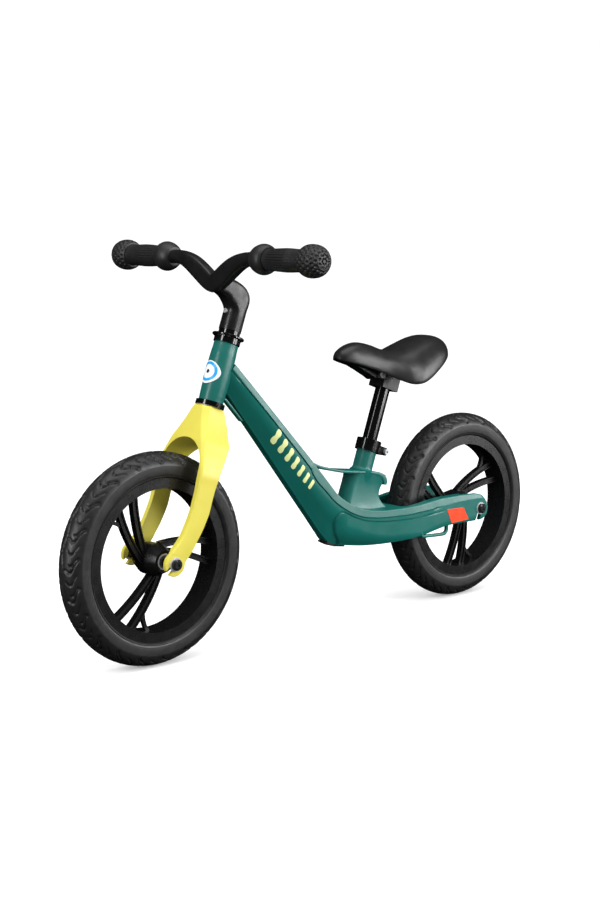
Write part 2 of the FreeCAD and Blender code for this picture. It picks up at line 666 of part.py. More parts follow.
def groove_strip(points):
    """A thin band of the side view along a line of points."""
    half = size("groove_half_width")
    bands = []
    for (x0, z0), (x1, z1) in zip(points, points[1:]):
        along = Vector(x1 - x0, 0, z1 - z0)
        band = Part.makeBox(along.Length, 2 * HALF_SPAN, 2 * half, Vector(0, -HALF_SPAN, -half))
        angle = -math.degrees(math.atan2(along.z, along.x))
        band.Placement = Placement(Vector(x0, 0, z0), Rotation(Vector(0, 1, 0), angle))
        bands.append(band)
        bands.append(through_hole(half, x1, z1))
    return bands[0].fuse(bands[1:])


depth = size("groove_depth")
under_grooves = plan_face([(x, y - depth) for x, y in HALF_WIDTHS]).extrude(Vector(0, 0, PLAN_TOP))
grooves = [groove_strip(line).cut(under_grooves) for line in (GROOVE_EDGE, GROOVE_PANEL)]

# Dropouts: an open slot for the axle, running down and forward.
AXLE_SLOT_HALF = 4.3
REAR_SLOT_ANGLE = -20
axle_hole = through_hole(AXLE_SLOT_HALF, REAR_AXLE.x, REAR_AXLE.z)
slot_way = Part.makeBox(2 * AXLE_SLOT_HALF, 2 * HALF_SPAN, 40)
slot_way.translate(Vector(-AXLE_SLOT_HALF, -HALF_SPAN, -40))
rear_slot = slot_way.copy()
rear_slot.Placement = Placement(REAR_AXLE, Rotation(Vector(0, 1, 0), REAR_SLOT_ANGLE))

casting = solid_casting.cut(lower_flanks + [core, core_exit])
casting = casting.fuse([gusset, seat_tube, head_tube] + loops)
casting = casting.cut([wheel_slot, dropout_room, window] + channels + both_sides(waist))
casting = casting.cut([above_head, below_head, before_head.cut(head_tube), head_bore])
casting = casting.cut([seat_bore, clamp_slit] + loop_slots)
casting = casting.cut(grooves + [axle_hole, rear_slot]).removeSplitter()
piece(shaped("frame_casting_shape", casting), "frame_casting")

# Pieces that stay with the frame
REFLECTOR = [(-222, 152.8), (-259.5, 151.2), (-271.5, 131.2), (-233, 130.2)]
REFLECTOR_THICKNESS = 1.0
stay_face = size("stay_half_width")
left_reflector = slab(side_face(REFLECTOR), stay_face, stay_face + REFLECTOR_THICKNESS)
piece(shaped("left_reflector_shape", left_reflector), "left_reflector")
right_reflector = left_reflector.mirror(Vector(0, 0, 0), Vector(0, 1, 0))
piece(shaped("right_reflector_shape", right_reflector), "right_reflector")

BUMPER = [(-12, 126), (-25, 119.6), (-46, 116.4), (-45.3, 113.4), (-24, 116.6), (-10, 123.4)]
BUMPER_HALF = 10.0
bumper = slab(side_face(BUMPER), -BUMPER_HALF, BUMPER_HALF).cut(casting)
piece(shaped("belly_bumper_shape", bumper), "belly_bumper")

BADGE_RADIUS = 16.0
BADGE_HEIGHT = 263.0
BADGE_SKIN = 0.7
badge_disc = Part.makeCylinder(BADGE_RADIUS, 60, Vector(0, 0, BADGE_HEIGHT), Vector(1, 0, 0))
badge_outside = Part.makeCylinder(
    head_radius + HEAD_BULGE + BADGE_SKIN, 4 * BADGE_RADIUS, Vector(0, 0, BADGE_HEIGHT - 2 * BADGE_RADIUS)
)
badge = badge_disc.common(badge_outside).cut(upright_head)
piece(shaped("head_badge_shape", badge), "head_badge", STEERING)

# ---------------------------------------------------------------------------------------------------
# Headset
# ---------------------------------------------------------------------------------------------------

CUP_WALL = 1.8
CUP_INSERT = 11.0
BEARING_GAP = 0.05
steerer_gap = "steerer_radius + 0.5"
lower_track = "crown_top + 2"
lower_roof = f"{lower_track} + 2 * headset_ball_radius + {2 * BEARING_GAP}"
lower_cup_profile = [
    ("lower_cup_radius", "crown_top + 0.5"),
    ("lower_cup_radius", "head_bottom"),
    ("head_bore", "head_bottom"),
    ("head_bore", f"head_bottom + {CUP_INSERT}"),
    (steerer_gap, f"head_bottom + {CUP_INSERT}"),
    (steerer_gap, lower_roof),
    (f"lower_cup_radius - {CUP_WALL}", lower_roof),
    (f"lower_cup_radius - {CUP_WALL}", "crown_top + 0.5"),
]
turned("lower_headset_cup", lower_cup_profile, STEERING)
crown_race_radius = f"lower_cup_radius - {CUP_WALL} - 0.6"
ring("crown_race", crown_race_radius, "steerer_radius", "crown_top", lower_track, STEERING)
upper_floor = "head_top + 2"
upper_cup_profile = [
    ("head_bore", f"head_top - {CUP_INSERT}"),
    ("head_bore", "head_top"),
    ("upper_cup_radius", "head_top"),
    ("upper_cup_radius", "top_nut_bottom - 0.4"),
    (f"upper_cup_radius - {CUP_WALL}", "top_nut_bottom - 0.4"),
    (f"upper_cup_radius - {CUP_WALL}", upper_floor),
    (steerer_gap, upper_floor),
    (steerer_gap, f"head_top - {CUP_INSERT}"),
]
turned("upper_headset_cup", upper_cup_profile, STEERING)
upper_race_bottom = f"{upper_floor} + 2 * headset_ball_radius + {2 * BEARING_GAP}"
ring(
    "upper_race",
    f"upper_cup_radius - {CUP_WALL} - 0.4",
    "steerer_radius",
    upper_race_bottom,
    "top_nut_bottom",
    STEERING,
)
top_nut_profile = [
    ("steerer_radius", "top_nut_bottom"),
    ("top_nut_radius - 1", "top_nut_bottom"),
    ("top_nut_radius", "top_nut_bottom + 1"),
    ("top_nut_radius", "collar_bottom - 1"),
    ("top_nut_radius - 1", "collar_bottom"),
    ("steerer_radius", "collar_bottom"),
]
turned("headset_top_nut", top_nut_profile, STEERING)
ring("headset_collar", "stem_radius - 0.7", "steerer_radius", "collar_bottom", "stem_bottom", STEERING)
STEERER_LOW = "crown_top - 28"
STEERER_HIGH = "stem_bottom + 46"
ring("steerer_tube", "steerer_radius", "steerer_bore", STEERER_LOW, STEERER_HIGH, STEERING)

HEADSET_BALLS = 18


def headset_balls(label, circle, floor):
    """A ring of balls round the steerer tube, just clear of the tracks above and below."""
    balls = []
    height = size(f"{floor} + headset_ball_radius") + BEARING_GAP
    for index in range(HEADSET_BALLS):
        angle = 2 * math.pi * index / HEADSET_BALLS
        ball = doc.addObject("Part::Sphere", label + "_ball")
        ball.setExpression("Radius", bound("headset_ball_radius"))
        ball.Placement.Base = Vector(circle * math.cos(angle), circle * math.sin(angle), height)
        balls.append(ball)
    piece(group(label + "_group", balls), label, STEERING)


headset_balls("lower_headset_balls", 15.7, lower_track)
headset_balls("upper_headset_balls", 14.9, upper_floor)

# ---------------------------------------------------------------------------------------------------
# Fork
# ---------------------------------------------------------------------------------------------------

# Side view: forward of the steering axis and along it, from the crown down the front edge, round the
# dropout and up the rear edge.
FORK_FRONT = [(20, 218), (22, 195), (25, 168), (24.5, 140), (23.5, 118), (21.5, 100), (21, 75)]
FORK_FRONT += [(25.5, 41), (31.5, 24)]
FORK_REAR = [(10.5, 9), (3, 26), (-3, 48), (-7.5, 75), (-7, 100), (-8, 122), (-15, 143), (-24, 168)]
FORK_REAR += [(-21.5, 195), (-16, 214), (-15.5, 218)]
# Half the fork's width at a height along the steering axis.
FORK_WIDTHS = [(218, 18), (205, 20.5), (185, 28), (168, 36), (150, 43), (136, 47.5), (124, 50)]
FORK_WIDTHS += [(-30, 50)]
DROPOUT_RADIUS = 16.5
ARCH_RADIUS = 41.0
ARCH_TOP = 170.0
LEG_INNER = 41.0
STEERER_SOCKET = 28.0
FORK_SLOT_ANGLE = -31
dropout_x = size("fork_rake")
fork_half = size("fork_half_width")
fork_side = side_face(FORK_FRONT + [(dropout_x + 12, 8), (dropout_x, 0)] + FORK_REAR)
left_edge = [Vector(-60, y, t) for t, y in FORK_WIDTHS]
right_edge = [Vector(-60, -y, t) for t, y in reversed(FORK_WIDTHS)]
fork_front = Part.Face(Part.makePolygon(left_edge + right_edge + left_edge[:1]))
fork_block = slab(fork_side, -HALF_SPAN, HALF_SPAN).common(fork_front.extrude(Vector(140, 0, 0)))
dropout_disc = through_hole(DROPOUT_RADIUS, dropout_x, 0).common(
    Part.makeBox(80, 2 * fork_half, 80, Vector(dropout_x - 40, -fork_half, -40))
)
fork_block = fork_block.fuse(dropout_disc)
arch_axis = Vector(-60, 0, ARCH_TOP - ARCH_RADIUS)
arch = Part.makeCylinder(ARCH_RADIUS, 140, arch_axis, Vector(1, 0, 0))
between_legs = Part.makeBox(140, 2 * LEG_INNER, arch_axis.z + 40, Vector(-60, -LEG_INNER, -40))
dropout_inner = size("fork_dropout_inner")
between_dropouts = Part.makeBox(140, 2 * dropout_inner, 64, Vector(-60, -dropout_inner, -40))
socket_floor = size("crown_top") - STEERER_SOCKET
crown_bore = Part.makeCylinder(size("steerer_radius"), STEERER_SOCKET + 10, Vector(0, 0, socket_floor))
fork_axle_hole = through_hole(AXLE_SLOT_HALF, dropout_x, 0)
fork_slot = slot_way.copy()
fork_slot.Placement = Placement(Vector(dropout_x, 0, 0), Rotation(Vector(0, 1, 0), FORK_SLOT_ANGLE))
# The crown's front corners are bevelled, less and less towards the legs.
CROWN_BEVEL = [(20, 11.5, 218), (12, 18.5, 218), (25, 36.5, 166)]
bevel = half_space(*[Vector(*point) for point in CROWN_BEVEL], Vector(1, 0, 0))
fork = fork_block.cut([arch, between_legs, between_dropouts, crown_bore, fork_axle_hole, fork_slot])
fork = fork.cut(both_sides(bevel)).removeSplitter()
piece(shaped("fork_shape", fork), "fork", STEERING)

# ---------------------------------------------------------------------------------------------------
# Handlebar and grips
# ---------------------------------------------------------------------------------------------------

# Side view of the stem's hooked head, and front view of one arm (from the middle plane, up).
STEM_HEAD = [(139.5, 462), (134.2, 479), (134.2, 488), (139, 497.5), (150, 507.5), (162, 513)]
STEM_HEAD += [(178, 518.5), (186, 521), (198, 521), (198, 498), (189, 497), (177, 489), (169.5, 472)]
STEM_HEAD += [(171, 462)]
ARM_TOP = [(0, 520), (6, 523), (18, 534.5), (28, 540.5), (40, 545.5), (61, 550), (82, 551.5)]
ARM_BOTTOM = [(82, 532.5), (65, 528), (49, 521), (37, 513), (25, 503.5), (15, 497.5), (0, 495.5)]
ARM_HALF_DEPTH = 8.0
STEM_HEAD_HALF = 13.5
STEM_LENGTH = 56.0
STEERER_IN_STEM = 46.0
BAR_END_OVERLAP = 6.0
GRIP_CAP = 4.0
bar_x = size("bar_forward")
bar_z = size("bar_height")
stem_tube = Part.makeCylinder(size("stem_radius"), STEM_LENGTH, Vector(0, 0, size("stem_bottom")))
stem_tube.Placement = STEERING.multiply(stem_tube.Placement)
stem_head = slab(side_face(STEM_HEAD), -STEM_HEAD_HALF, STEM_HEAD_HALF)
arm_outline = [Vector(bar_x - ARM_HALF_DEPTH, y, z) for y, z in ARM_TOP + ARM_BOTTOM]
arm_face = Part.Face(Part.makePolygon(arm_outline + arm_outline[:1]))
arm = arm_face.extrude(Vector(2 * ARM_HALF_DEPTH, 0, 0))
bar_end_start = size("grip_inner_end") - BAR_END_OVERLAP
bar_end_length = size("grip_outer_end") - GRIP_CAP - bar_end_start
bar_end = Part.makeCylinder(
    size("bar_radius"), bar_end_length, Vector(bar_x, bar_end_start, bar_z), Vector(0, 1, 0)
)
steerer_hole = Part.makeCylinder(
    size("steerer_radius"), STEERER_IN_STEM, Vector(0, 0, size("stem_bottom"))
)
steerer_hole.Placement = STEERING.multiply(steerer_hole.Placement)
# A set screw through the front of the stem, with a socket in its end.
BOLT_HEIGHT = 350.0
BOLT_START = size("steerer_radius")
BOLT_RADIUS = 3.2
BOLT_LENGTH = 5.0
BOLT_SOCKET_RADIUS = 1.6
BOLT_SOCKET_START = 3.0
stem_bolt_shape = Part.makeCylinder(
    BOLT_RADIUS, BOLT_LENGTH, Vector(BOLT_START, 0, BOLT_HEIGHT), Vector(1, 0, 0)
)
stem_bolt_hole = stem_bolt_shape.copy()
stem_bolt_hole.Placement = STEERING.multiply(stem_bolt_hole.Placement)
handlebar = stem_tube.fuse([stem_head] + both_sides(arm) + both_sides(bar_end))
handlebar = handlebar.cut([steerer_hole, stem_bolt_hole]).removeSplitter()
piece(shaped("handlebar_shape", handlebar), "handlebar")
socket_place = Vector(BOLT_START + BOLT_SOCKET_START, 0, BOLT_HEIGHT)
socket = Part.makeCylinder(BOLT_SOCKET_RADIUS, BOLT_LENGTH, socket_place, Vector(1, 0, 0))
piece(shaped("stem_bolt_shape", stem_bolt_shape.cut(socket)), "stem_bolt", STEERING)

# (radius, distance outboard of the grip's inner end)
GRIP_PROFILE = [
    ("bar_radius", "0"),
    ("bar_radius + 4", "0"),
    ("bar_radius + 8", "8"),
    ("bar_radius + 10.5", "14"),
    ("bar_radius + 11", "19"),
    ("bar_radius + 9.5", "24"),
    ("bar_radius + 6.2", "28"),
    ("bar_radius + 6.5", "62"),
    ("bar_radius + 6", "92"),
    ("bar_radius + 8.5", "95"),
    ("bar_radius + 11.5", "102"),
    ("bar_radius + 12.2", "110"),
    ("bar_radius + 11", "119"),
    ("bar_radius + 7.5", "127"),
    ("bar_radius + 2.5", "131"),
    ("0", "131"),
    ("0", "127"),
    ("bar_radius", "127"),
]
for side_name, direction in (("left", -90), ("right", 90)):
    reach = math.copysign(size("grip_inner_end"), -direction)
    place = Placement(Vector(bar_x, reach, bar_z), Rotation(Vector(1, 0, 0), direction))
    turned(f"{side_name}_grip", GRIP_PROFILE, place)

# ---------------------------------------------------------------------------------------------------
# Seat
# ---------------------------------------------------------------------------------------------------

ring("seat_post", "post_radius", "post_bore", "-post_below", "post_above", SEAT)
plug_profile = [
    ("0", "-post_below - 3"),
    ("post_radius - 0.4", "-post_below - 3"),
    ("post_radius - 0.1", "-post_below"),
    ("post_bore", "-post_below"),
    ("post_bore", "8 - post_below"),
    ("0", "8 - post_below"),
]
turned("seat_post_plug", plug_profile, SEAT)

# Split collar that clamps the seat tube on the post, with two lugs behind it.
COLLAR_RADIUS = 18.6
COLLAR_LOW = -14.0
LIP_GAP = 0.5
LUG_END = -37.0
LUG_AXIS = (-31.0, -7.0)
collar_body = Part.makeCylinder(COLLAR_RADIUS, 3 - COLLAR_LOW, Vector(0, 0, COLLAR_LOW))
LUG_RADIUS = 6.0
LUG_HALF = 8.0
lug_block = Part.makeBox(
    -LUG_END - LUG_RADIUS, 2 * LUG_HALF, 2 * LUG_RADIUS,
    Vector(LUG_AXIS[0], -LUG_HALF, LUG_AXIS[1] - LUG_RADIUS),
)
lug_barrel = Part.makeCylinder(
    LUG_RADIUS, 2 * LUG_HALF, Vector(LUG_AXIS[0], -LUG_HALF, LUG_AXIS[1]), Vector(0, 1, 0)
)
lugs = lug_block.fuse(lug_barrel)
tube_room = Part.makeCylinder(size("seat_tube_radius"), -COLLAR_LOW, Vector(0, 0, COLLAR_LOW))
lip_room = Part.makeCylinder(size("post_radius") + LIP_GAP, 10, Vector(0, 0, -2))
collar_gap = Part.makeBox(40, SLIT, 30, Vector(-44, -SLIT / 2, COLLAR_LOW - 2))
CLAMP_BOLT_RADIUS = 2.5
CLAMP_HEAD_RADIUS = 4.2
CLAMP_SOCKET_RADIUS = 2.1


def across_lugs(radius, start, length):
    """A cylinder through the lugs, along Y from a distance to the right or left of their middle."""
    return Part.makeCylinder(radius, length, Vector(LUG_AXIS[0], start, LUG_AXIS[1]), Vector(0, 1, 0))


clamp_hole = across_lugs(CLAMP_BOLT_RADIUS, -15, 30)
collar = collar_body.fuse(lugs).cut([tube_room, lip_room, collar_gap, clamp_hole]).removeSplitter()
piece(shaped("seat_clamp_collar_shape", collar), "seat_clamp_collar", SEAT)
bolt_shank = across_lugs(CLAMP_BOLT_RADIUS, -12, 20)
bolt_head = across_lugs(CLAMP_HEAD_RADIUS, 8, 4.5)
bolt_socket = across_lugs(CLAMP_SOCKET_RADIUS, 9.5, 3)
clamp_bolt = bolt_shank.fuse(bolt_head).cut(bolt_socket).removeSplitter()
piece(shaped("seat_clamp_bolt_shape", clamp_bolt), "seat_clamp_bolt", SEAT)
clamp_nut = across_lugs(CLAMP_HEAD_RADIUS, -12, 4)
piece(shaped("seat_clamp_nut_shape", clamp_nut.cut(bolt_shank)), "seat_clamp_nut", SEAT)

# Saddle stations: forward of the origin, half width, height of the lower edge, height of the crown.
SADDLE = [
    (-37, 6, 391.2, 395.5),
    (-45, 14, 388.6, 404.8),
    (-60, 20, 384.4, 411),
    (-78, 23.5, 379.2, 413.4),
    (-100, 27, 372, 408.8),
    (-118, 33, 364, 402.4),
    (-135, 42, 356, 399.2),
    (-150, 50, 351, 399.6),
    (-166, 54, 351.5, 403.8),
    (-183, 53, 357, 409.4),
    (-200, 50.5, 366, 414.4),
    (-216, 47, 375, 417),
    (-230, 41.5, 383, 416),
    (-241, 33, 388, 412),
    (-249, 22, 391, 405),
    (-254, 9, 392.4, 396),
]
SKIRT = 4.0
RECESS = 4.5
FOAM_DEPTH = 26.0
ROOF_SHARE = 0.74
PLATE_THICKNESS = 3.0


def saddle_roof(width, low, top):
    """Half width and height of the flat roof of the hollow under the saddle cover."""
    return ROOF_SHARE * width, max(low + min(RECESS, 0.4 * (top - low)), top - FOAM_DEPTH)


def saddle_section(x, width, low, top):
    """One closed section of the saddle cover, hollow underneath for the base."""
    rise = top - low
    roof_half, roof = saddle_roof(width, low, top)
    half = [(0, top), (0.5 * width, low + 0.93 * rise), (0.88 * width, low + 0.6 * rise), (width, low)]
    half += [(max(width - SKIRT, roof_half), low), (roof_half, roof)]
    left = [Vector(x, y, z) for y, z in half]
    right = [Vector(x, -y, z) for y, z in reversed(half[1:])]
    return Part.makePolygon(left + right + left[:1])


def base_section(x, width, low, top):
    """One closed section of the saddle's base plate, against the roof of the cover's hollow."""
    half, roof = saddle_roof(width, low, top)
    floor = roof - PLATE_THICKNESS
    corners = [(half, roof), (half, floor), (-half, floor), (-half, roof)]
    places = [Vector(x, y, z) for y, z in corners]
    return Part.makePolygon(places + places[:1])


cover = Part.makeLoft([saddle_section(*station) for station in SADDLE], True, True)
piece(shaped("saddle_cover_shape", cover), "saddle_cover")

KEEL = [(-52, 389.7), (-66, 386), (-78, 385.9), (-100, 381.3), (-118, 374.9), (-135, 371.7), (-150, 372.1)]
KEEL += [(-160, 374.3), (-160, 352), (-122, 354.5), (-107, 359.5), (-84, 372), (-62, 383)]
KEEL_HALF = 13.0
CLAMP_BLOCK = (-17.0, 31.0, 82.5, 107.5)
CLAMP_HALF = 15.0
RELIEF_FRONT = 16.0
RELIEF_TOP = 92.5
block_rear, block_front, block_low, block_high = CLAMP_BLOCK
clamp_block = Part.makeBox(
    block_front - block_rear, 2 * CLAMP_HALF, block_high - block_low, Vector(block_rear, -CLAMP_HALF, block_low)
)
PIVOT = (23.0, 98.5)
PIVOT_RADIUS = 2.5
PIVOT_HEAD_RADIUS = 4.5
PIVOT_HEAD = 3.5
PIVOT_SOCKET_RADIUS = 2.2
PIVOT_SOCKET_DEPTH = 2.0


def along_pivot(radius, start, end):
    """A cylinder about the saddle clamp's bolt, between two distances from the middle plane."""
    return Part.makeCylinder(radius, end - start, Vector(PIVOT[0], start, PIVOT[1]), Vector(0, 1, 0))


pivot_shank = along_pivot(PIVOT_RADIUS, -CLAMP_HALF, CLAMP_HALF)
post_socket = Part.makeCylinder(size("post_radius"), size("post_above"), Vector(0, 0, 0))
front_relief = Part.makeBox(30, 40, 20, Vector(RELIEF_FRONT, -20, RELIEF_TOP - 20))
saddle_clamp = clamp_block.cut([post_socket, pivot_shank, front_relief]).removeSplitter()
piece(shaped("saddle_clamp_shape", saddle_clamp), "saddle_clamp", SEAT)
base = Part.makeLoft([base_section(*station) for station in SADDLE[1:-1]], True, True)
base = base.fuse(slab(side_face(KEEL), -KEEL_HALF, KEEL_HALF))
block_room = clamp_block.fuse(post_socket)
block_room.Placement = SEAT.multiply(block_room.Placement)
base = base.cut([block_room, cover]).removeSplitter()
base = max(base.Solids, key=lambda solid: solid.Volume)
piece(shaped("saddle_base_shape", base), "saddle_base")
pivot_end = CLAMP_HALF + PIVOT_HEAD
pivot_heads = [
    along_pivot(PIVOT_HEAD_RADIUS, -pivot_end, -CLAMP_HALF),
    along_pivot(PIVOT_HEAD_RADIUS, CLAMP_HALF, pivot_end),
]
pivot_socket = along_pivot(PIVOT_SOCKET_RADIUS, pivot_end - PIVOT_SOCKET_DEPTH, pivot_end)
saddle_bolt = pivot_shank.fuse(pivot_heads).cut(pivot_socket).removeSplitter()
piece(shaped("saddle_clamp_bolt_shape", saddle_bolt), "saddle_clamp_bolt", SEAT)

# ---------------------------------------------------------------------------------------------------
doc.recompute()
failures = []
for obj in doc.Objects:
    if "Invalid" in obj.State or "Error" in obj.State:
        failures.append(obj.Name)
for obj in pieces:
    if obj.Shape.isNull() or not obj.Shape.isValid():
        failures.append(obj.Label)
if failures:
    raise SystemExit("failed: " + ", ".join(failures))
os.makedirs("parts", exist_ok=True)
for obj in pieces:
    obj.Shape.exportStep(os.path.join("parts", obj.Label + ".step"))
print(len(pieces), "pieces written")
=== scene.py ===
import bpy
import bmesh
import math
import numpy as np
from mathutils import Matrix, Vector


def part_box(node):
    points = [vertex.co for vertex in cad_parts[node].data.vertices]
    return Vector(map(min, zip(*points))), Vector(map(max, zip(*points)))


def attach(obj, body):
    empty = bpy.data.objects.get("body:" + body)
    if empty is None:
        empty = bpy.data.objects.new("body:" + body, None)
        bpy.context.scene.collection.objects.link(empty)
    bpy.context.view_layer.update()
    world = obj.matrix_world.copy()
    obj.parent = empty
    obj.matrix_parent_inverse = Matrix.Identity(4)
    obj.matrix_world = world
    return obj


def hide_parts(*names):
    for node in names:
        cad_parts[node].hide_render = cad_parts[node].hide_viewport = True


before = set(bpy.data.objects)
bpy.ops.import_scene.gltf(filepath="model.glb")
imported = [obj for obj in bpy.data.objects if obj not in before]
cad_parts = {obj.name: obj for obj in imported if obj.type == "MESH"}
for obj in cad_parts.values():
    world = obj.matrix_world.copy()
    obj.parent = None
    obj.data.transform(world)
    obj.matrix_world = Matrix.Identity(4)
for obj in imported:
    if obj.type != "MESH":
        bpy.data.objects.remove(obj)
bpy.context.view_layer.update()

# A child's balance bike.  Shapes are drawn in millimetres in the frame of the CAD model: +X forward,
# +Y to the rider's left, +Z up, and the origin on the ground half way between the wheels.
MM = 0.001
LEAN = math.radians(20.0)  # of the steering axis and of the seat tube, from upright

# ---- Materials ----


def linear(red, green, blue):
    """A linear colour from one given on a screen's 0 to 255 scale."""
    channels = []
    for value in (red, green, blue):
        share = value / 255
        channels.append(share / 12.92 if share <= 0.04045 else ((share + 0.055) / 1.055) ** 2.4)
    return (*channels, 1.0)


def mix_colour(tree, factor, low, high):
    """A colour that runs between two as a factor runs from 0 to 1."""
    mix = tree.nodes.new("ShaderNodeMix")
    mix.data_type = "RGBA"
    mix.inputs["A"].default_value = low
    mix.inputs["B"].default_value = high
    tree.links.new(factor, mix.inputs["Factor"])
    return mix.outputs["Result"]


def noise(tree, place, scale, detail=3.0):
    """A soft random pattern, from 0 to 1."""
    texture = tree.nodes.new("ShaderNodeTexNoise")
    texture.inputs["Scale"].default_value = scale
    texture.inputs["Detail"].default_value = detail
    tree.links.new(place, texture.inputs["Vector"])
    return texture.outputs["Fac"]


def remap(tree, value, low, high, to_low, to_high):
    """Maps a value from one range on to another, clamped."""
    node = tree.nodes.new("ShaderNodeMapRange")
    for name, number in (("From Min", low), ("From Max", high), ("To Min", to_low), ("To Max", to_high)):
        node.inputs[name].default_value = number
    tree.links.new(value, node.inputs["Value"])
    return node.outputs["Result"]


def finish_material(
    name, colour, roughness, grain=900.0, grain_depth=0.02, wear=0.12, spread=0.06, metallic=0.0,
    coat=0.0, smudges=22.0,
):
    """A moulded, painted or plated surface: colour drift (wear), uneven gloss (spread) and fine grain."""
    material = bpy.data.materials.new(name)
    material.use_nodes = True
    tree = material.node_tree
    shader = tree.nodes["Principled BSDF"]
    place = tree.nodes.new("ShaderNodeTexCoord").outputs["Object"]
    drift = noise(tree, place, smudges)
    base = linear(*colour)
    dark = tuple(channel * (1 - wear) for channel in base[:3]) + (1.0,)
    light = tuple(min(1.0, channel * (1 + wear)) for channel in base[:3]) + (1.0,)
    spotted = mix_colour(tree, remap(tree, drift, 0.3, 0.7, 0, 1), dark, light)
    tree.links.new(spotted, shader.inputs["Base Color"])
    gloss = noise(tree, place, 3.3 * smudges, 5.0)
    uneven = remap(tree, gloss, 0.3, 0.7, max(0.02, roughness - spread), roughness + spread)
    tree.links.new(uneven, shader.inputs["Roughness"])
    shader.inputs["Metallic"].default_value = metallic
    shader.inputs["Coat Weight"].default_value = coat
    shader.inputs["Coat Roughness"].default_value = 0.08
    bump = tree.nodes.new("ShaderNodeBump")
    bump.inputs["Strength"].default_value = 1.0
    bump.inputs["Distance"].default_value = grain_depth * MM
    tree.links.new(noise(tree, place, grain), bump.inputs["Height"])
    tree.links.new(bump.outputs["Normal"], shader.inputs["Normal"])
    return material


def badge_material():
    """A plain round badge: a pale face with a blue rim band."""
    material = finish_material("badge_print", (235, 238, 238), 0.3, wear=0.03)
    tree = material.node_tree
    shader = tree.nodes["Principled BSDF"]
    shape = tree.nodes.new("ShaderNodeVectorMath")
    shape.operation = "DISTANCE"
    low, high = [Vector(corner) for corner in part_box("head_badge")]
    shape.inputs[1].default_value = (low + high) / 2
    place = tree.nodes.new("ShaderNodeTexCoord").outputs["Object"]
    tree.links.new(place, shape.inputs[0])
    ring = tree.nodes.new("ShaderNodeValToRGB")
    ring.color_ramp.interpolation = "CONSTANT"
    stops = [(0.0, (30, 34, 40)), (0.22, (238, 240, 240)), (0.62, (28, 160, 226)), (0.86, (238, 240, 240))]
    for _ in stops[2:]:
        ring.color_ramp.elements.new(0.5)
    for element, (position, colour) in zip(ring.color_ramp.elements, stops):
        element.position = position
        element.color = linear(*colour)
    radius = (high.z - low.z) / 2 / math.cos(LEAN)
    share = remap(tree, shape.outputs["Value"], 0, radius, 0, 1)
    tree.links.new(share, ring.inputs["Fac"])
    tree.links.new(ring.outputs["Color"], shader.inputs["Base Color"])
    return material


def reflector_material():
    """Orange reflective tape with a fine net of cells, and a faint painted glow."""
    material = finish_material("reflector_tape", (248, 70, 40), 0.22, wear=0.05, coat=0.6)
    tree = material.node_tree
    shader = tree.nodes["Principled BSDF"]
    place = tree.nodes.new("ShaderNodeTexCoord").outputs["Object"]
    cells = tree.nodes.new("ShaderNodeTexVoronoi")
    cells.feature = "DISTANCE_TO_EDGE"
    cells.inputs["Scale"].default_value = 450
    tree.links.new(place, cells.inputs["Vector"])
    line = remap(tree, cells.outputs["Distance"], 0.0, 0.08, 0, 1)
    net = mix_colour(tree, line, linear(226, 40, 26), linear(252, 84, 52))
    tree.links.new(net, shader.inputs["Base Color"])
    # Painted glow: a faint emission makes the tape shine as if it caught the light, though it is no lamp.
    shader.inputs["Emission Color"].default_value = linear(250, 70, 40)
    shader.inputs["Emission Strength"].default_value = 0.12
    return material


PAINT = finish_material("teal_powder_coat", (17, 100, 92), 0.33, 1400, 0.03, 0.06, 0.05)
LIME = finish_material("lime_powder_coat", (215, 203, 76), 0.40, 1400, 0.03, 0.04, 0.05)
SATIN = finish_material("black_satin", (22, 22, 23), 0.34, 1600, 0.04, 0.2, 0.08)
GLOSS = finish_material("black_gloss", (12, 12, 13), 0.16, 1200, 0.01, 0.2, 0.05, coat=0.5)
STEEL = finish_material("bright_steel", (214, 215, 218), 0.26, 1500, 0.02, 0.08, 0.08, metallic=0.4)
BLACK_STEEL = finish_material("black_steel", (26, 26, 28), 0.30, 1500, 0.02, 0.2, 0.08)
FOAM = finish_material("tyre_foam", (31, 31, 32), 0.38, 2600, 0.08, 0.16, 0.08, smudges=40)
RIM = finish_material("rim_plastic", (19, 19, 20), 0.28, 1800, 0.03, 0.06, 0.03)
GRIP = finish_material("grip_rubber", (32, 32, 33), 0.44, 2400, 0.06, 0.2, 0.08)
SADDLE = finish_material("saddle_skin", (29, 29, 30), 0.34, 2100, 0.08, 0.12, 0.06)
PLASTIC = finish_material("black_plastic", (24, 24, 25), 0.42, 1700, 0.05, 0.2, 0.08)
RUBBER = finish_material("black_rubber", (20, 20, 20), 0.6, 2400, 0.06, 0.2, 0.08)
DECAL = finish_material("lime_print", (240, 248, 172), 0.4, 1400, 0.02, 0.03, 0.05)
MATERIALS = {
    "frame_paint": PAINT, "fork_paint": LIME, "black_satin": SATIN, "black_gloss": GLOSS,
    "steel": STEEL, "black_steel": BLACK_STEEL, "tyre_foam": FOAM, "rim_plastic": RIM,
    "grip_rubber": GRIP, "saddle_foam": SADDLE, "black_plastic": PLASTIC, "black_rubber": RUBBER,
    "reflector": reflector_material(), "badge": badge_material(),
}
for node_name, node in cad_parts.items():
    for slot in node.material_slots:
        key = slot.material.name.split(".")[0] if slot.material else ""
        if key in MATERIALS:
            slot.material = MATERIALS[key]
        else:
            print("no material for", node_name, key)

# ---- Drawing helpers ----


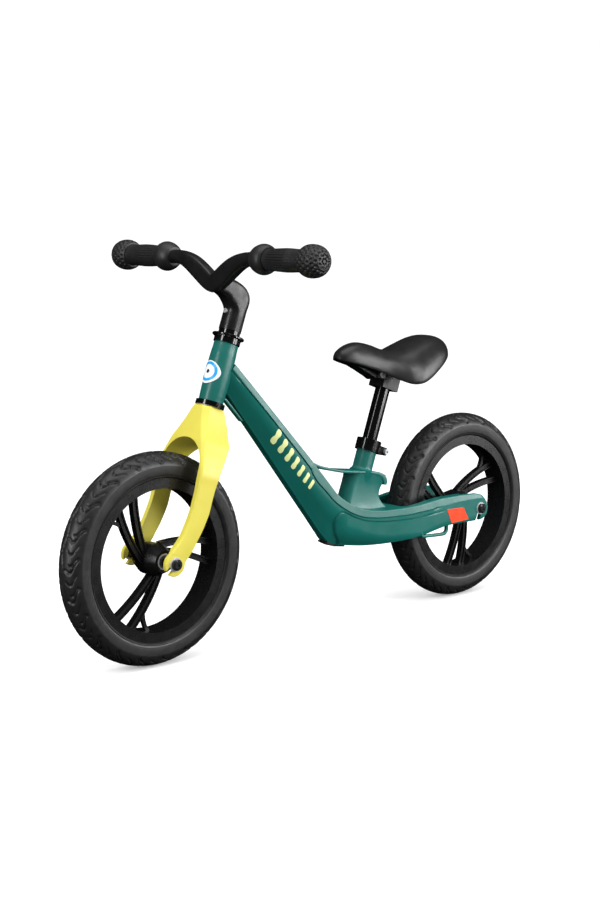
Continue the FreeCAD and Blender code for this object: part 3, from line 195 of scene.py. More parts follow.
def smooth_line(points, steps):
    """A curve through points, with a number of steps for each span (Catmull and Rom's spline)."""
    knots = np.array(points, float)
    if isinstance(steps, int):
        steps = [steps] * (len(knots) - 1)
    first = 2 * knots[0] - knots[1]
    last = 2 * knots[-1] - knots[-2]
    padded = np.vstack([first, knots, last])
    line = []
    for index, count in enumerate(steps):
        a, b, c, d = padded[index : index + 4]
        for step in range(count):
            t = step / count
            bend = 2 * b + (c - a) * t + (2 * a - 5 * b + 4 * c - d) * t**2
            line.append((bend + (3 * b - 3 * c + d - a) * t**3) / 2)
    line.append(knots[-1])
    return np.array(line)


def graph(points):
    """A function of one value through (value, result) pairs, smoothed between them."""
    fine = smooth_line(sorted(points), 12)
    return lambda value: float(np.interp(value, fine[:, 0], fine[:, 1]))


def rounded_outline(corners, radii, steps=4):
    """A closed outline with its corners rounded, with the same number of points whatever its size."""
    corners = np.array(corners, float)
    loop = []
    for index, here in enumerate(corners):
        before = corners[index - 1] - here
        after = corners[(index + 1) % len(corners)] - here
        length_before = max(np.linalg.norm(before), 1e-6)
        length_after = max(np.linalg.norm(after), 1e-6)
        reach = min(radii[index], 0.48 * length_before, 0.48 * length_after)
        start = here + before / length_before * reach
        end = here + after / length_after * reach
        for step in range(steps + 1):
            t = step / steps
            loop.append((1 - t) ** 2 * start + 2 * t * (1 - t) * here + t**2 * end)
    return loop


def new_piece(name, mesh, material, body, sharp):
    """A finished mesh as a piece of the bike.  Edges bent by more than sharp degrees stay crisp."""
    mesh.materials.append(material)
    mesh.shade_smooth()
    mesh.set_sharp_from_angle(angle=math.radians(sharp))
    piece = bpy.data.objects.new(name, mesh)
    bpy.context.scene.collection.objects.link(piece)
    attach(piece, body)
    return piece


def clean(surface):
    """Joins equal points, drops flat faces and turns every face outwards."""
    bmesh.ops.remove_doubles(surface, verts=surface.verts, dist=0.002)
    bmesh.ops.dissolve_degenerate(surface, edges=surface.edges, dist=0.001)
    bmesh.ops.recalc_face_normals(surface, faces=surface.faces)


def skin(surface, loops, ends=True, ring=False):
    """Lays faces between closed loops of equal length.  A ring joins the last loop to the first."""
    rows = [[surface.verts.new(tuple(point)) for point in loop] for loop in loops]
    count = len(rows[0])
    pairs = list(zip(rows, rows[1:]))
    if ring:
        pairs.append((rows[-1], rows[0]))
    for low, high in pairs:
        for index in range(count):
            after = (index + 1) % count
            surface.faces.new((low[index], low[after], high[after], high[index]))
    if ends and not ring:
        for row in (rows[0], rows[-1]):
            middle = surface.verts.new(sum((vertex.co for vertex in row), Vector()) / count)
            for index in range(count):
                surface.faces.new((row[index], row[(index + 1) % count], middle))
    return rows


def drop_middle_plane(surface):
    """Deletes the faces of a left half that lie in the middle plane."""
    flat = [face for face in surface.faces if all(abs(vertex.co.y) < 1e-4 for vertex in face.verts)]
    bmesh.ops.delete(surface, geom=flat, context="FACES")


def mirror_half(surface):
    """Adds the right half to a left half and joins them in the middle plane."""
    for vertex in surface.verts:
        if abs(vertex.co.y) < 2e-3:
            vertex.co.y = 0.0
    copied = bmesh.ops.duplicate(surface, geom=surface.verts[:] + surface.edges[:] + surface.faces[:])
    for item in copied["geom"]:
        if isinstance(item, bmesh.types.BMVert):
            item.co.y = -item.co.y


def to_mesh(name, surface):
    """A mesh in metres from a surface drawn in millimetres."""
    clean(surface)
    bmesh.ops.scale(surface, vec=(MM, MM, MM), verts=surface.verts)
    mesh = bpy.data.meshes.new(name)
    surface.to_mesh(mesh)
    surface.free()
    return mesh


def blend_low(first, second, softness):
    """The lower of two values, with a rounded change from one to the other."""
    share = min(1.0, max(0.0, 0.5 + 0.5 * (second - first) / softness))
    return second * (1 - share) + first * share - softness * share * (1 - share)


def distance_to(line, x, z):
    """How far a point of the side view lies from a line of points, and how far along the line."""
    starts, ends = line[:-1], line[1:]
    spans = ends - starts
    offset = np.array([x, z]) - starts
    share = np.clip((offset * spans).sum(1) / (spans**2).sum(1), 0, 1)
    gaps = np.linalg.norm(offset - spans * share[:, None], axis=1)
    nearest = int(gaps.argmin())
    return gaps[nearest], (nearest + share[nearest]) / len(spans)


def crossing(line, top, bottom):
    """The distance from top, towards bottom, at which a section crosses a line of the side view."""
    direction = bottom - top
    length = np.linalg.norm(direction)
    direction = direction / length
    normal = np.array([-direction[1], direction[0]])
    sides = (line - top) @ normal
    best = None
    for index in range(len(line) - 1):
        if sides[index] * sides[index + 1] <= 0 and sides[index] != sides[index + 1]:
            share = sides[index] / (sides[index] - sides[index + 1])
            place = line[index] + (line[index + 1] - line[index]) * share
            along = float((place - top) @ direction)
            if -2 < along < length and (best is None or along < best):
                best = along
    return best


# ---- Frame casting ----

UP = np.array([-math.sin(LEAN), 0.0, math.cos(LEAN)])
FORWARD = np.array([math.cos(LEAN), 0.0, math.sin(LEAN)])
SIDE = np.array([0.0, 1.0, 0.0])
FRONT_AXLE = np.array([300.0, 0.0, 145.0])
REAR_AXLE = np.array([-300.0, 0.0, 145.0])
FORK_RAKE = 26.6
STEERING = FRONT_AXLE - FORWARD * FORK_RAKE
SEAT = np.array([-105.4, 0.0, 263.2])

# Sections of the casting from the head tube to the rear dropouts: the top and the bottom point of
# each in the side view, and the number of slices up to the next one.
SECTIONS = [
    ((168, 398), (188, 374), 12), ((126, 353), (150, 326.6), 14), ((97, 322.5), (120.5, 290), 14),
    ((67, 291.3), (92, 254.3), 14), ((37, 260), (62, 216.6), 14), ((13.5, 234.3), (36, 184), 18),
    ((-2.5, 215.6), (14, 156.5), 20), ((-18.5, 197), (0, 139), 22), ((-33, 185.7), (-12, 126), 24),
    ((-50, 175.5), (-25, 119.6), 20), ((-72, 168.8), (-46, 116.4), 14), ((-96, 165.2), (-75, 113.6), 12),
    ((-121, 164.4), (-110, 113.6), 8), ((-141, 165), (-141, 115.2), 8), ((-160, 166), (-160, 117.2), 4),
    ((-175, 167.3), (-175, 119), 10), ((-205, 170.5), (-205, 124.2), 8), ((-228, 171), (-228, 127), 10),
    ((-260, 170.7), (-260, 127), 8), ((-280, 169.7), (-280, 126.6), 6), ((-292, 168.8), (-293, 126.5), 6),
    ((-304.5, 165), (-304, 127.3), 6), ((-313.5, 155.5), (-312.5, 132.5), 4),
    ((-316.5, 146), (-316.5, 143), 1),
]
# Half the casting's width along the bike.
HALF_WIDTH = graph([
    (200, 16.5), (170, 18.5), (120, 21), (40, 21.5), (10, 23), (-20, 26.5), (-50, 31), (-80, 36),
    (-110, 41), (-150, 48), (-190, 51.4), (-215, 52), (-260, 52), (-330, 52),
])
# Two fine grooves: one under the top edge from end to end, and one round the raised panel.
GROOVE_EDGE = smooth_line([
    (190, 405), (161, 375.5), (44.5, 253), (30, 233), (19, 218), (4, 203), (-9, 189), (-25, 176.6),
    (-41, 167), (-57, 160), (-73, 156.3), (-96, 153.7), (-121, 153.2), (-145, 153.3), (-180, 155.5),
    (-228, 158.5), (-262, 160), (-330, 160),
], 6)
PANEL_FRONT = [(-31, 114), (-27, 124), (-22, 132), (-18.5, 140), (-16, 149), (-15.2, 157),
               (-16.3, 163), (-19.5, 168)]
PANEL_CORNER = [(-25, 170), (-31.3, 168.5)]
PANEL_TOP = [(-46, 160.5), (-65, 153.4), (-85, 149.5), (-110, 147.3), (-145, 147), (-180, 148.5),
             (-222, 151.5)]
GROOVE_PANEL = smooth_line(PANEL_FRONT + PANEL_CORNER + PANEL_TOP, 6)
# The panel's top line carried on both ways, so that the sections' points stay in rows.
PANEL_ROW = smooth_line([(190, 396), (161, 366), (50, 246), (24, 213), (4, 193), (-12, 178), (-31.3, 168.5)]
                        + PANEL_TOP + [(-262, 153), (-330, 153)], 6)
PANEL_FRONT_X, PANEL_FRONT_Z = zip(*PANEL_FRONT)
GROOVE_HALF = 1.5
GROOVE_DEPTH = 1.9
GROOVE_PANEL_END = 0.12  # share of the line over which the groove runs out
GROOVE_EDGE_END, GROOVE_EDGE_FADE = 0.86, 0.035
# The underside, and half the casting's width along it: a narrow keel that opens out to the stays.
UNDERSIDE = smooth_line([
    (200, 389), (136, 309.5), (80, 239.2), (24, 169), (0, 139), (-12, 126), (-25, 119.6), (-46, 116.4),
    (-75, 113.6), (-110, 113.6), (-149, 115.7), (-175, 119), (-228, 127), (-330, 127),
], 6)
BOTTOM_WIDTH = [6, 6, 6, 6, 6.6, 8.5, 12, 18, 26.5, 37, 46, 50, 51.6, 51.6]
FLANK_SLOPE = [0.677, 0.677, 0.677, 0.677, 0.68, 0.72, 0.76, 0.8, 0.8, 0.7, 0.5, 0.4, 0.3, 0.3]
FLANK_BLEND = [5, 5, 5, 5, 6, 8, 10, 10, 8, 5, 3, 2, 1.5, 1.5]
YOKE_FRONT = -141.0  # where the gap for the wheel starts
YOKE_CORNER = 8.0
STAY_INNER = 38.0
RECESS_INNER = 45.0  # a shallow hollow inside each stay
RECESS_SPAN = (-256.0, -163.0)
PLATE_INNER = 46.0  # the thinner plate at the dropout
PLATE_FRONT = -260.0
PROUD = 0.4  # the flank's crown above the plain half width
TOP_DRAW_IN = 1.2  # how far the flank leans in above the edge groove
PANEL_STEP = 2.8
PANEL_STEP_REACH = 16.0
PANEL_STEP_SHARE = 0.40  # the part of the panel's groove that has the step
PANEL_STEP_TOP, PANEL_STEP_FADE = 168.0, 14.0


def side_of(x, z):
    """Half the casting's width at a point of the side view, grooves and lower flank included."""
    width = HALF_WIDTH(x) + PROUD
    height, along = distance_to(UNDERSIDE, x, z)
    knots = np.linspace(0, 1, len(BOTTOM_WIDTH))
    low, slope, soft = [np.interp(along, knots, row) for row in (BOTTOM_WIDTH, FLANK_SLOPE, FLANK_BLEND)]
    width = blend_low(width, low + slope * height, soft)
    gap, along = distance_to(GROOVE_PANEL, x, z)
    # ahead of the panel's front edge the flank stands a little lower than the panel
    ahead = x > np.interp(z, PANEL_FRONT_Z, PANEL_FRONT_X)
    if ahead and gap < PANEL_STEP_REACH and along < PANEL_STEP_SHARE:
        share = 1 - gap / PANEL_STEP_REACH
        fade = min(1.0, max(0.0, (PANEL_STEP_TOP - z) / PANEL_STEP_FADE))
        width -= PANEL_STEP * share**2 * min(1.0, gap / 0.8) * fade
    if gap < GROOVE_HALF:
        deep = GROOVE_DEPTH * min(1.0, (1.0 - along) / GROOVE_PANEL_END)
        width -= deep * 0.5 * (1 + math.cos(math.pi * gap / GROOVE_HALF))
    gap, along = distance_to(GROOVE_EDGE, x, z)
    if gap < GROOVE_HALF:
        deep = GROOVE_DEPTH * min(1.0, max(0.0, (GROOVE_EDGE_END - along) / GROOVE_EDGE_FADE))
        width -= deep * 0.5 * (1 + math.cos(math.pi * gap / GROOVE_HALF))
    return width


def stay_inner(x):
    """Distance of the casting's inner wall from the middle plane."""
    if x > YOKE_FRONT:
        return 0.0
    if x > YOKE_FRONT - YOKE_CORNER:
        bend = math.sqrt(max(0.0, YOKE_CORNER**2 - (x - YOKE_FRONT + YOKE_CORNER) ** 2))
        return STAY_INNER - YOKE_CORNER + bend
    return STAY_INNER if x > PLATE_FRONT else PLATE_INNER


def casting_section(top, bottom, inner, recess):
    """One slice of the casting's left half: out along the top, down the flank, back up the inside."""
    length = max(np.linalg.norm(bottom - top), 0.5)
    down = (bottom - top) / length
    small = length < 20
    edge = crossing(GROOVE_EDGE, top, bottom)
    row = crossing(PANEL_ROW, top, bottom)
    edge = min(edge if edge else 12.0, 0.3 * length)
    row = min(max(row if row else 18.0, edge + 2 * GROOVE_HALF + 0.4), 0.5 * length)
    draw = 0.3 if small else TOP_DRAW_IN
    top_width = side_of(top[0], top[1]) - draw
    bottom_round = 0.3 if small else 1.6
    bottom_width = side_of(*(bottom - down * bottom_round))
    round_top = 0.4 if small else 1.3
    loop = []

    def put(along, y):
        place = top + down * along
        loop.append((place[0], y, place[1]))

    for step in range(9):
        put(0, inner + (top_width - round_top - inner) * step / 8)
    for step in (1, 2, 3):
        angle = math.pi / 2 * step / 3
        put(round_top * (1 - math.cos(angle)), top_width - round_top * (1 - math.sin(angle)))
    bevel_end = max(edge - GROOVE_HALF, round_top + 0.4)
    below_edge = edge + GROOVE_HALF
    above_row = max(row - GROOVE_HALF, below_edge + 0.2)
    below_row = row + GROOVE_HALF
    stretches = [(round_top, bevel_end, 6), (bevel_end, below_edge, 4), (below_edge, above_row, 3),
                 (above_row, below_row, 4), (below_row, length - bottom_round, 44)]
    for start, end, count in stretches:
        for step in range(1, count + 1):
            along = start + (end - start) * step / count
            place = top + down * along
            y = side_of(place[0], place[1])
            if along < bevel_end:
                y -= draw * (1 - (along - round_top) / (bevel_end - round_top))
            put(along, max(y, inner + 0.6))
    for step in (1, 2, 3):
        angle = math.pi / 2 * step / 3
        reach = min(bottom_round, 0.5 * (bottom_width - inner))
        along = length - bottom_round + bottom_round * math.sin(angle)
        put(along, bottom_width - reach * (1 - math.cos(angle)))
    last = loop[-1][1]
    for step in range(1, 7):
        put(length, last + (inner - last) * step / 6)
    wall = 0.3 if small else 5.0
    for along, y in ((length - wall, inner), (length - wall, recess), (wall, recess), (wall, inner)):
        put(along, y)
    return loop


def casting_loops():
    """Every slice of the casting's left half, with two at each step of the inner wall."""
    counts = [count for _, _, count in SECTIONS[:-1]]
    tops = smooth_line([top for top, _, _ in SECTIONS], counts)
    bottoms = smooth_line([bottom for _, bottom, _ in SECTIONS], counts)
    loops = []
    for top, bottom in zip(tops, bottoms):
        x = top[0]
        inner = stay_inner(x)
        recess = RECESS_INNER if RECESS_SPAN[0] < x < RECESS_SPAN[1] else inner
        if abs(x - YOKE_FRONT) < 0.2:
            loops.append(casting_section(top, bottom, 0.0, 0.0))
            inner = recess = STAY_INNER - YOKE_CORNER
        if abs(x - PLATE_FRONT) < 0.2:
            loops.append(casting_section(top, bottom, STAY_INNER, STAY_INNER))
            inner = recess = PLATE_INNER
        loops.append(casting_section(top, bottom, inner, recess))
    return loops


def tube_loops(origin, axis, across, profile, segments=64):
    """Loops of a turned shape: (radius, distance along the axis) pairs about an axis."""
    other = np.cross(axis, across)
    loops = []
    for radius, along in profile:
        middle = origin + axis * along
        loop = []
        for index in range(segments):
            angle = 2 * math.pi * index / segments
            loop.append(middle + radius * (math.cos(angle) * across + math.sin(angle) * other))
        loops.append(loop)
    return loops


def ribbon(surface, line, low, high, thickness):
    """A strap along a line of the side view, with rounded rims and one thickness or a row of them."""
    knots = np.linspace(0, 1, np.size(thickness))
    depths = np.interp(np.linspace(0, 1, len(line)), knots, np.ravel(thickness))
    directions = np.gradient(line, axis=0)
    directions = directions / np.linalg.norm(directions, axis=1)[:, None]
    normals = np.stack([-directions[:, 1], directions[:, 0]], axis=1)
    loops = []
    for place, normal, deep in zip(line, normals, depths):
        corners = [(low, -deep / 2), (high, -deep / 2), (high, deep / 2), (low, deep / 2)]
        section = rounded_outline(corners, [min(0.42 * deep, 2.2)] * 4, 3)
        loops.append([(place[0] + normal[0] * h, y, place[1] + normal[1] * h) for y, h in section])
    skin(surface, loops)


GUSSET_CORNER = 5.0
GUSSET_FOOT, GUSSET_HEIGHT = 160.0, 59.0
GUSSET_TOP_SLOPE = 0.138  # the top follows the flange
GUSSET_MIDDLE = -80.0


def gusset_loops():
    """Slices, from the beam up, of the waisted body under the seat tube."""
    # height, middle of the round front, rear end, half width of the front and of the rear
    table = smooth_line([
        (160, -48, -134, 19.5, 17), (167, -53, -127, 17, 16), (174, -56.5, -120, 15.6, 15.2),
        (183, -60.5, -115.5, 14.8, 14.6), (193, -64, -117, 14.4, 14.2), (203, -68, -122.5, 14.4, 14.2),
        (210, -71, -127.5, 14.8, 14.8), (215, -73, -129.5, 15.2, 15.4), (219, -74, -128, 15.6, 15.8),
    ], 4)
    loops = []
    for z, centre, rear, half, half_rear in table:
        tilt = GUSSET_TOP_SLOPE * (z - GUSSET_FOOT) / GUSSET_HEIGHT
        bend = rear + GUSSET_CORNER
        nose = [(centre + half * math.cos(a), half * math.sin(a)) for a in np.radians(np.arange(-90, 91, 9))]
        flank = [(centre + (bend - centre) * t, half + (half_rear - half) * t) for t in (0.34, 0.67)]
        for a in np.radians(np.arange(0, 91, 18)):
            flank.append((bend - GUSSET_CORNER * math.sin(a), half_rear - GUSSET_CORNER * (1 - math.cos(a))))
        section = nose + flank + [(x, -y) for x, y in reversed(flank)]
        loops.append([(x, y, z + tilt * (x - GUSSET_MIDDLE)) for x, y in section])
    return loops


SLOT_RADIUS = 4.3
SLOT_LENGTH = 40.0
SLOT_HALF_SPAN = 60.0  # past both sides of the bike
REAR_SLOT_TURN = math.radians(-20.0)
FORK_SLOT_TURN = math.radians(-51.0)


def slot_cutter(name, centre, turn):
    """An open axle slot as a tool: a round hole with a way out of it, turned from straight down."""
    surface = bmesh.new()
    arc = np.radians(np.arange(0, 181, 12))
    outline = [(SLOT_RADIUS * math.cos(a), SLOT_RADIUS * math.sin(a)) for a in arc]
    outline += [(-SLOT_RADIUS, -SLOT_LENGTH), (SLOT_RADIUS, -SLOT_LENGTH)]
    rows = []
    for y in (-SLOT_HALF_SPAN, SLOT_HALF_SPAN):
        row = []
        for x, z in outline:
            row.append((centre[0] + x * math.cos(turn) + z * math.sin(turn), y,
                        centre[2] - x * math.sin(turn) + z * math.cos(turn)))
        rows.append(row)
    skin(surface, rows)
    return to_mesh(name, surface)


def cut_away(mesh, tool, overlaps):
    """A mesh with another cut from it.  overlaps says that the first has parts that cross."""
    piece, cutter = [bpy.data.objects.new(data.name, data) for data in (mesh, tool)]
    for item in (piece, cutter):
        bpy.context.scene.collection.objects.link(item)
    change = piece.modifiers.new("cut", "BOOLEAN")
    change.operation = "DIFFERENCE"
    change.solver = "EXACT"
    change.use_self = overlaps
    change.object = cutter
    graph_now = bpy.context.evaluated_depsgraph_get()
    result = bpy.data.meshes.new_from_object(piece.evaluated_get(graph_now))
    for item in (piece, cutter):
        bpy.data.objects.remove(item)
    return result


# The strap of metal over the gusset, from the beam back to a thick end that curls down, and its
# thickness at each of these points.
FLANGE = smooth_line([
    (27, 247.5), (12, 240.5), (0, 236.5), (-18, 231.8), (-36, 227.6), (-58, 224.2), (-92, 219.6),
    (-107, 216.6), (-117, 212.8), (-123, 208), (-125.5, 202.6), (-125, 197.5),
], 5)
FLANGE_THICKNESS = [4.4, 4.2, 4.2, 4.2, 4.2, 4.4, 4.8, 5.8, 7.4, 8.6, 8.6, 6.0]
FLANGE_HALF = 16.4
# Loops for a strap: one under each stay, and one under the beam behind the head tube.
STAY_LOOP = smooth_line([
    (-169, 123), (-172, 117.6), (-180, 116.4), (-214, 114.6), (-222, 115.6), (-225.6, 120), (-226, 129),
], 5)
STAY_LOOP_SIDES = [(45.0, 51.0), (-51.0, -45.0)]
STAY_LOOP_THICKNESS = 5.2
BEAM_LOOP = smooth_line([
    (178.5, 358), (176.5, 350.5), (171, 345.5), (148.5, 321.3), (144.6, 317.8), (140, 318.5), (138, 324),
], 5)
BEAM_LOOP_HALF = 4.0
BEAM_LOOP_THICKNESS = 4.0
SEAT_TUBE_RADIUS = 15.0
SEAT_FLARE = 3.2
HEAD_TUBE_RADIUS = 17.5
HEAD_BULGE = 0.7


def frame_body():
    """The casting with its slots, the two tubes, the gusset, its flange and the strap loops."""
    surface = bmesh.new()
    skin(surface, casting_loops())
    drop_middle_plane(surface)
    mirror_half(surface)
    slot = slot_cutter("rear_slot_tool", REAR_AXLE, REAR_SLOT_TURN)
    casting = cut_away(to_mesh("casting", surface), slot, False)
    surface = bmesh.new()
    # seat tube, with a small flare where it meets the flange, and its bore
    shares = np.linspace(0, 1, 7)
    seat = [(13, -120), (13, -66), (17, -52)]
    seat += [(SEAT_TUBE_RADIUS + SEAT_FLARE * (1 - t) ** 3, -45 + 7 * t) for t in shares]
    seat += [(SEAT_TUBE_RADIUS, -20), (SEAT_TUBE_RADIUS, -0.6), (14.4, 0), (11.3, 0), (11.3, -60)]
    skin(surface, tube_loops(SEAT, UP, FORWARD, seat))
    # head tube: a shallow barrel with a step at each end
    shares = np.linspace(0, 1, 13)
    head = [(14.6, 240), (14.6, 225), (16.4, 225), (17.2, 225.8), (17.3, 232), (HEAD_TUBE_RADIUS, 233.2)]
    head += [(HEAD_TUBE_RADIUS + HEAD_BULGE * math.sin(math.pi * t), 234 + 62 * t) for t in shares]
    head += [(17.2, 297.2), (17.0, 306.8), (16.2, 308), (14.6, 308), (14.6, 290)]
    skin(surface, tube_loops(STEERING, UP, FORWARD, head, 80), ends=False)
    skin(surface, gusset_loops())
    ribbon(surface, FLANGE, -FLANGE_HALF, FLANGE_HALF, FLANGE_THICKNESS)
    for low, high in STAY_LOOP_SIDES:
        ribbon(surface, STAY_LOOP, low, high, STAY_LOOP_THICKNESS)
    ribbon(surface, BEAM_LOOP, -BEAM_LOOP_HALF, BEAM_LOOP_HALF, BEAM_LOOP_THICKNESS)
    whole = bmesh.new()
    for mesh in (casting, to_mesh("frame_tubes", surface)):
        whole.from_mesh(mesh)
    mesh = bpy.data.meshes.new("frame_body")
    whole.to_mesh(mesh)
    whole.free()
    piece = new_piece("frame_body", mesh, PAINT, "frame", 32)
    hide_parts("frame_casting")


frame_body()

# ---- Fork ----

# Height along the steering axis, front and rear edge forward of the axis, and half width.
FORK = [
    (218, 17.5, -10.5, 15.4), (216.6, 18.9, -13.2, 16.9), (213, 20.1, -15.4, 18.4),
    (205, 21, -18, 20.6), (195, 22, -21.5, 24), (185, 23.2, -23, 28),
    (176, 24.2, -24, 32.2), (168, 25, -24, 36), (158, 25, -20, 39.8), (150, 24.8, -17, 43),
    (136, 24.4, -12, 47.5), (124, 23.8, -8.6, 50), (112, 22.8, -7.4, 50), (100, 21.5, -7, 50),
    (86, 21, -7.3, 50), (75, 21, -7.5, 50), (60, 22.6, -5.4, 50), (48, 24.4, -3, 50), (36, 27, 0.4, 50),
    (26, 31, 3, 50), (18, 35.5, 6.6, 50), (12, 38.6, 9.6, 50),
]
ARCH_RADIUS = 41.0
ARCH_CENTRE = 129.0
LEG_INNER = 41.0
LEG_TAPER = (14.0, 20.0)  # heights between which the leg's inside steps out to the dropout
CROWN_FOOT, CROWN_TOP = 120.0, 218.0
EDGE_BEVEL = 1.6
CROWN_BEVEL_OUT, CROWN_BEVEL_BACK = 7.0, 6.4
DROPOUT_INNER = 44.0
DROPOUT_OUTER = 49.8
DROPOUT_RADIUS = 16.5
DROPOUT_CHAMFER = 0.8


def fork_inner(t):
    """Distance of the fork's inner wall from the middle plane at a height."""
    if t >= ARCH_CENTRE + ARCH_RADIUS:
        return 0.0
    if t > ARCH_CENTRE:
        return math.sqrt(ARCH_RADIUS**2 - (t - ARCH_CENTRE) ** 2)
    low, high = LEG_TAPER
    return LEG_INNER + (DROPOUT_INNER - LEG_INNER) * min(1.0, max(0.0, (high - t) / (high - low)))


def steering_place(forward, left, up):
    """A point given from the foot of the steering axis."""
    return STEERING + FORWARD * forward + SIDE * left + UP * up


def fork_section(t, front, rear, half, inner):
    """One slice of the left half of the fork, as a closed loop."""
    crown = min(1.0, max(0.0, (t - CROWN_FOOT) / (CROWN_TOP - CROWN_FOOT)))
    bevel_out = EDGE_BEVEL + CROWN_BEVEL_OUT * crown**1.2
    bevel_back = EDGE_BEVEL + CROWN_BEVEL_BACK * crown**1.2
    corners = [(rear, inner), (front, inner), (front, half - bevel_out), (front - bevel_back, half),
               (rear, half)]
    inside = 0.6 if inner > 0 else 0.0
    points = rounded_outline(corners, [inside, inside, 1.6, 1.6, 2.0], 4)
    return [steering_place(x, y, t) for x, y in points]


def fork_body():
    """Crown and legs in one mesh, a round dropout on each leg, and the axle slots."""
    surface = bmesh.new()
    table = smooth_line(FORK, 4)
    # the arch needs close slices near its top
    arch = [ARCH_CENTRE + ARCH_RADIUS * math.sin(angle) for angle in np.radians(np.arange(6, 91, 6))]
    heights = sorted({round(t, 3) for t in [*table[:, 0], *arch]}, reverse=True)
    rising = table[::-1]
    loops = []
    for t in heights:
        front, rear, half = [float(np.interp(t, rising[:, 0], rising[:, column])) for column in (1, 2, 3)]
        loops.append(fork_section(t, front, rear, half, fork_inner(t)))
    skin(surface, loops)
    # round dropout at the end of each leg
    ring = []
    start, end = math.radians(20), math.radians(-200)
    for index in range(33):
        angle = start + (end - start) * index / 32
        ring.append((FORK_RAKE + DROPOUT_RADIUS * math.cos(angle), DROPOUT_RADIUS * math.sin(angle)))
    outline = ring + [(4.5, 22), (32, 22)]
    rows = []
    first, last = DROPOUT_INNER + 0.1, DROPOUT_OUTER
    layers = [(first, DROPOUT_CHAMFER), (first + DROPOUT_CHAMFER, 0), (last - DROPOUT_CHAMFER, 0),
              (last, DROPOUT_CHAMFER)]
    for y, inset in layers:
        row = []
        for x, z in outline:
            outward = np.array([x - FORK_RAKE, z]) / math.hypot(x - FORK_RAKE, z)
            row.append(steering_place(x - outward[0] * inset, y, z - outward[1] * inset))
        rows.append(row)
    skin(surface, rows)
    drop_middle_plane(surface)
    mirror_half(surface)
    bmesh.ops.remove_doubles(surface, verts=surface.verts, dist=0.002)
    slot = slot_cutter("fork_slot_tool", FRONT_AXLE, FORK_SLOT_TURN)
    mesh = cut_away(to_mesh("fork_body", surface), slot, True)
    piece = new_piece("fork_body", mesh, LIME, "steering", 24)
    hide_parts("fork")


fork_body()

# ---- Tyres ----

TYRE_RADIUS = 145.0
SHOULDER_RADIUS = 128.0
TYRE_HALF = 22.0
TREAD_REPEATS = 22
STEPS_PER_REPEAT = 32
TREAD_DEPTH = 1.9
# Curved strokes from the middle of the tread to its edge: place round one repeat, how far it leans,
# where it starts and ends across the tread, and half width.
STROKES = [
    (0.05, 0.62, 0.10, 0.95, 0.080), (0.40, 0.30, 0.34, 0.90, 0.060), (0.72, 0.46, 0.20, 0.80, 0.055),
]
BESIDE_TREAD = 2.0  # a place across the tread that is past its edge


def tyre_profile():
    """(radius, distance from the middle plane, place across the tread) of a tyre's section."""
    rise = TYRE_RADIUS - SHOULDER_RADIUS
    bend = (rise**2 + TYRE_HALF**2) / (2 * rise)
    sweep = math.asin(TYRE_HALF / bend)
    wall = [(104.0, 14.9), (110.9, 14.9), (110.9, 19.3), (111.8, 20.6), (113.2, 21.3), (113.9, 20.7),
            (114.6, 21.3), (116.5, 21.6), (121, 21.9), (125, 22.0), (127.2, 22.0)]
    left = [(r, y, BESIDE_TREAD) for r, y in wall]
    tread = []
    for angle in np.linspace(sweep, -sweep, 45):
        tread.append((TYRE_RADIUS - bend + bend * math.cos(angle), bend * math.sin(angle), angle / sweep))
    right = [(r, -y, BESIDE_TREAD) for r, y in reversed(wall)]
    return left + tread + right


def ridge(gap, half):
    """1 at the middle of a groove, falling smoothly to 0 at its edges."""
    return 0.5 * (1 + math.cos(math.pi * gap / half)) if abs(gap) < half else 0.0


def tread_depth(turn, across):
    """How deep the moulded tread is, from 0 to 1: turn runs from 0 to 1 over one repeat."""
    if abs(across) > 1:
        return 0.0
    outward = abs(across)
    shift = 0.5 if across < 0 else 0.0
    fade = min(1.0, max(0.0, (0.97 - outward) / 0.12))
    depth = 0.0
    for start, lean, low, high, half in STROKES:
        if low < outward < high:
            line = start + lean * (outward - low) ** 1.5 + 0.10 * math.sin(3.2 * math.pi * outward)
            gap = (turn + shift - line + 0.5) % 1.0 - 0.5
            ends = min(1.0, (outward - low) / 0.10, (high - outward) / 0.10)
            depth = max(depth, ends * ridge(gap, half))
    # a wavy groove round the middle
    wave = 0.07 * math.sin(2 * math.pi * turn)
    depth = max(depth, 0.8 * ridge(across - wave, 0.07))
    return depth * fade


def tyre_piece(name, node, body, centre):
    """A foam tyre with its tread sunk along the section's normals."""
    profile = tyre_profile()
    count = TREAD_REPEATS * STEPS_PER_REPEAT
    normals = []
    for index in range(len(profile)):
        before = profile[max(index - 1, 0)]
        after = profile[min(index + 1, len(profile) - 1)]
        along = np.array([after[0] - before[0], after[1] - before[1]])
        along = along / np.linalg.norm(along)
        normals.append((-along[1], along[0]))
    depths = [[tread_depth(step / STEPS_PER_REPEAT, across) for _, _, across in profile]
              for step in range(STEPS_PER_REPEAT)]
    loops = []
    for step in range(count):
        angle = 2 * math.pi * step / count
        loop = []
        for index, (r, y, _) in enumerate(profile):
            depth = TREAD_DEPTH * depths[step % STEPS_PER_REPEAT][index]
            radius = r - normals[index][0] * depth
            side = y - normals[index][1] * depth
            loop.append((centre[0] + radius * math.cos(angle), side, centre[2] + radius * math.sin(angle)))
        loops.append(loop)
    surface = bmesh.new()
    skin(surface, loops, ring=True)
    piece = new_piece(name, to_mesh(name, surface), FOAM, body, 40)
    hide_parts(node)


tyre_piece("front_tyre_foam", "front_tyre", "front_wheel", FRONT_AXLE)
tyre_piece("rear_tyre_foam", "rear_tyre", "rear_wheel", REAR_AXLE)

# ---- Handlebar and grips ----

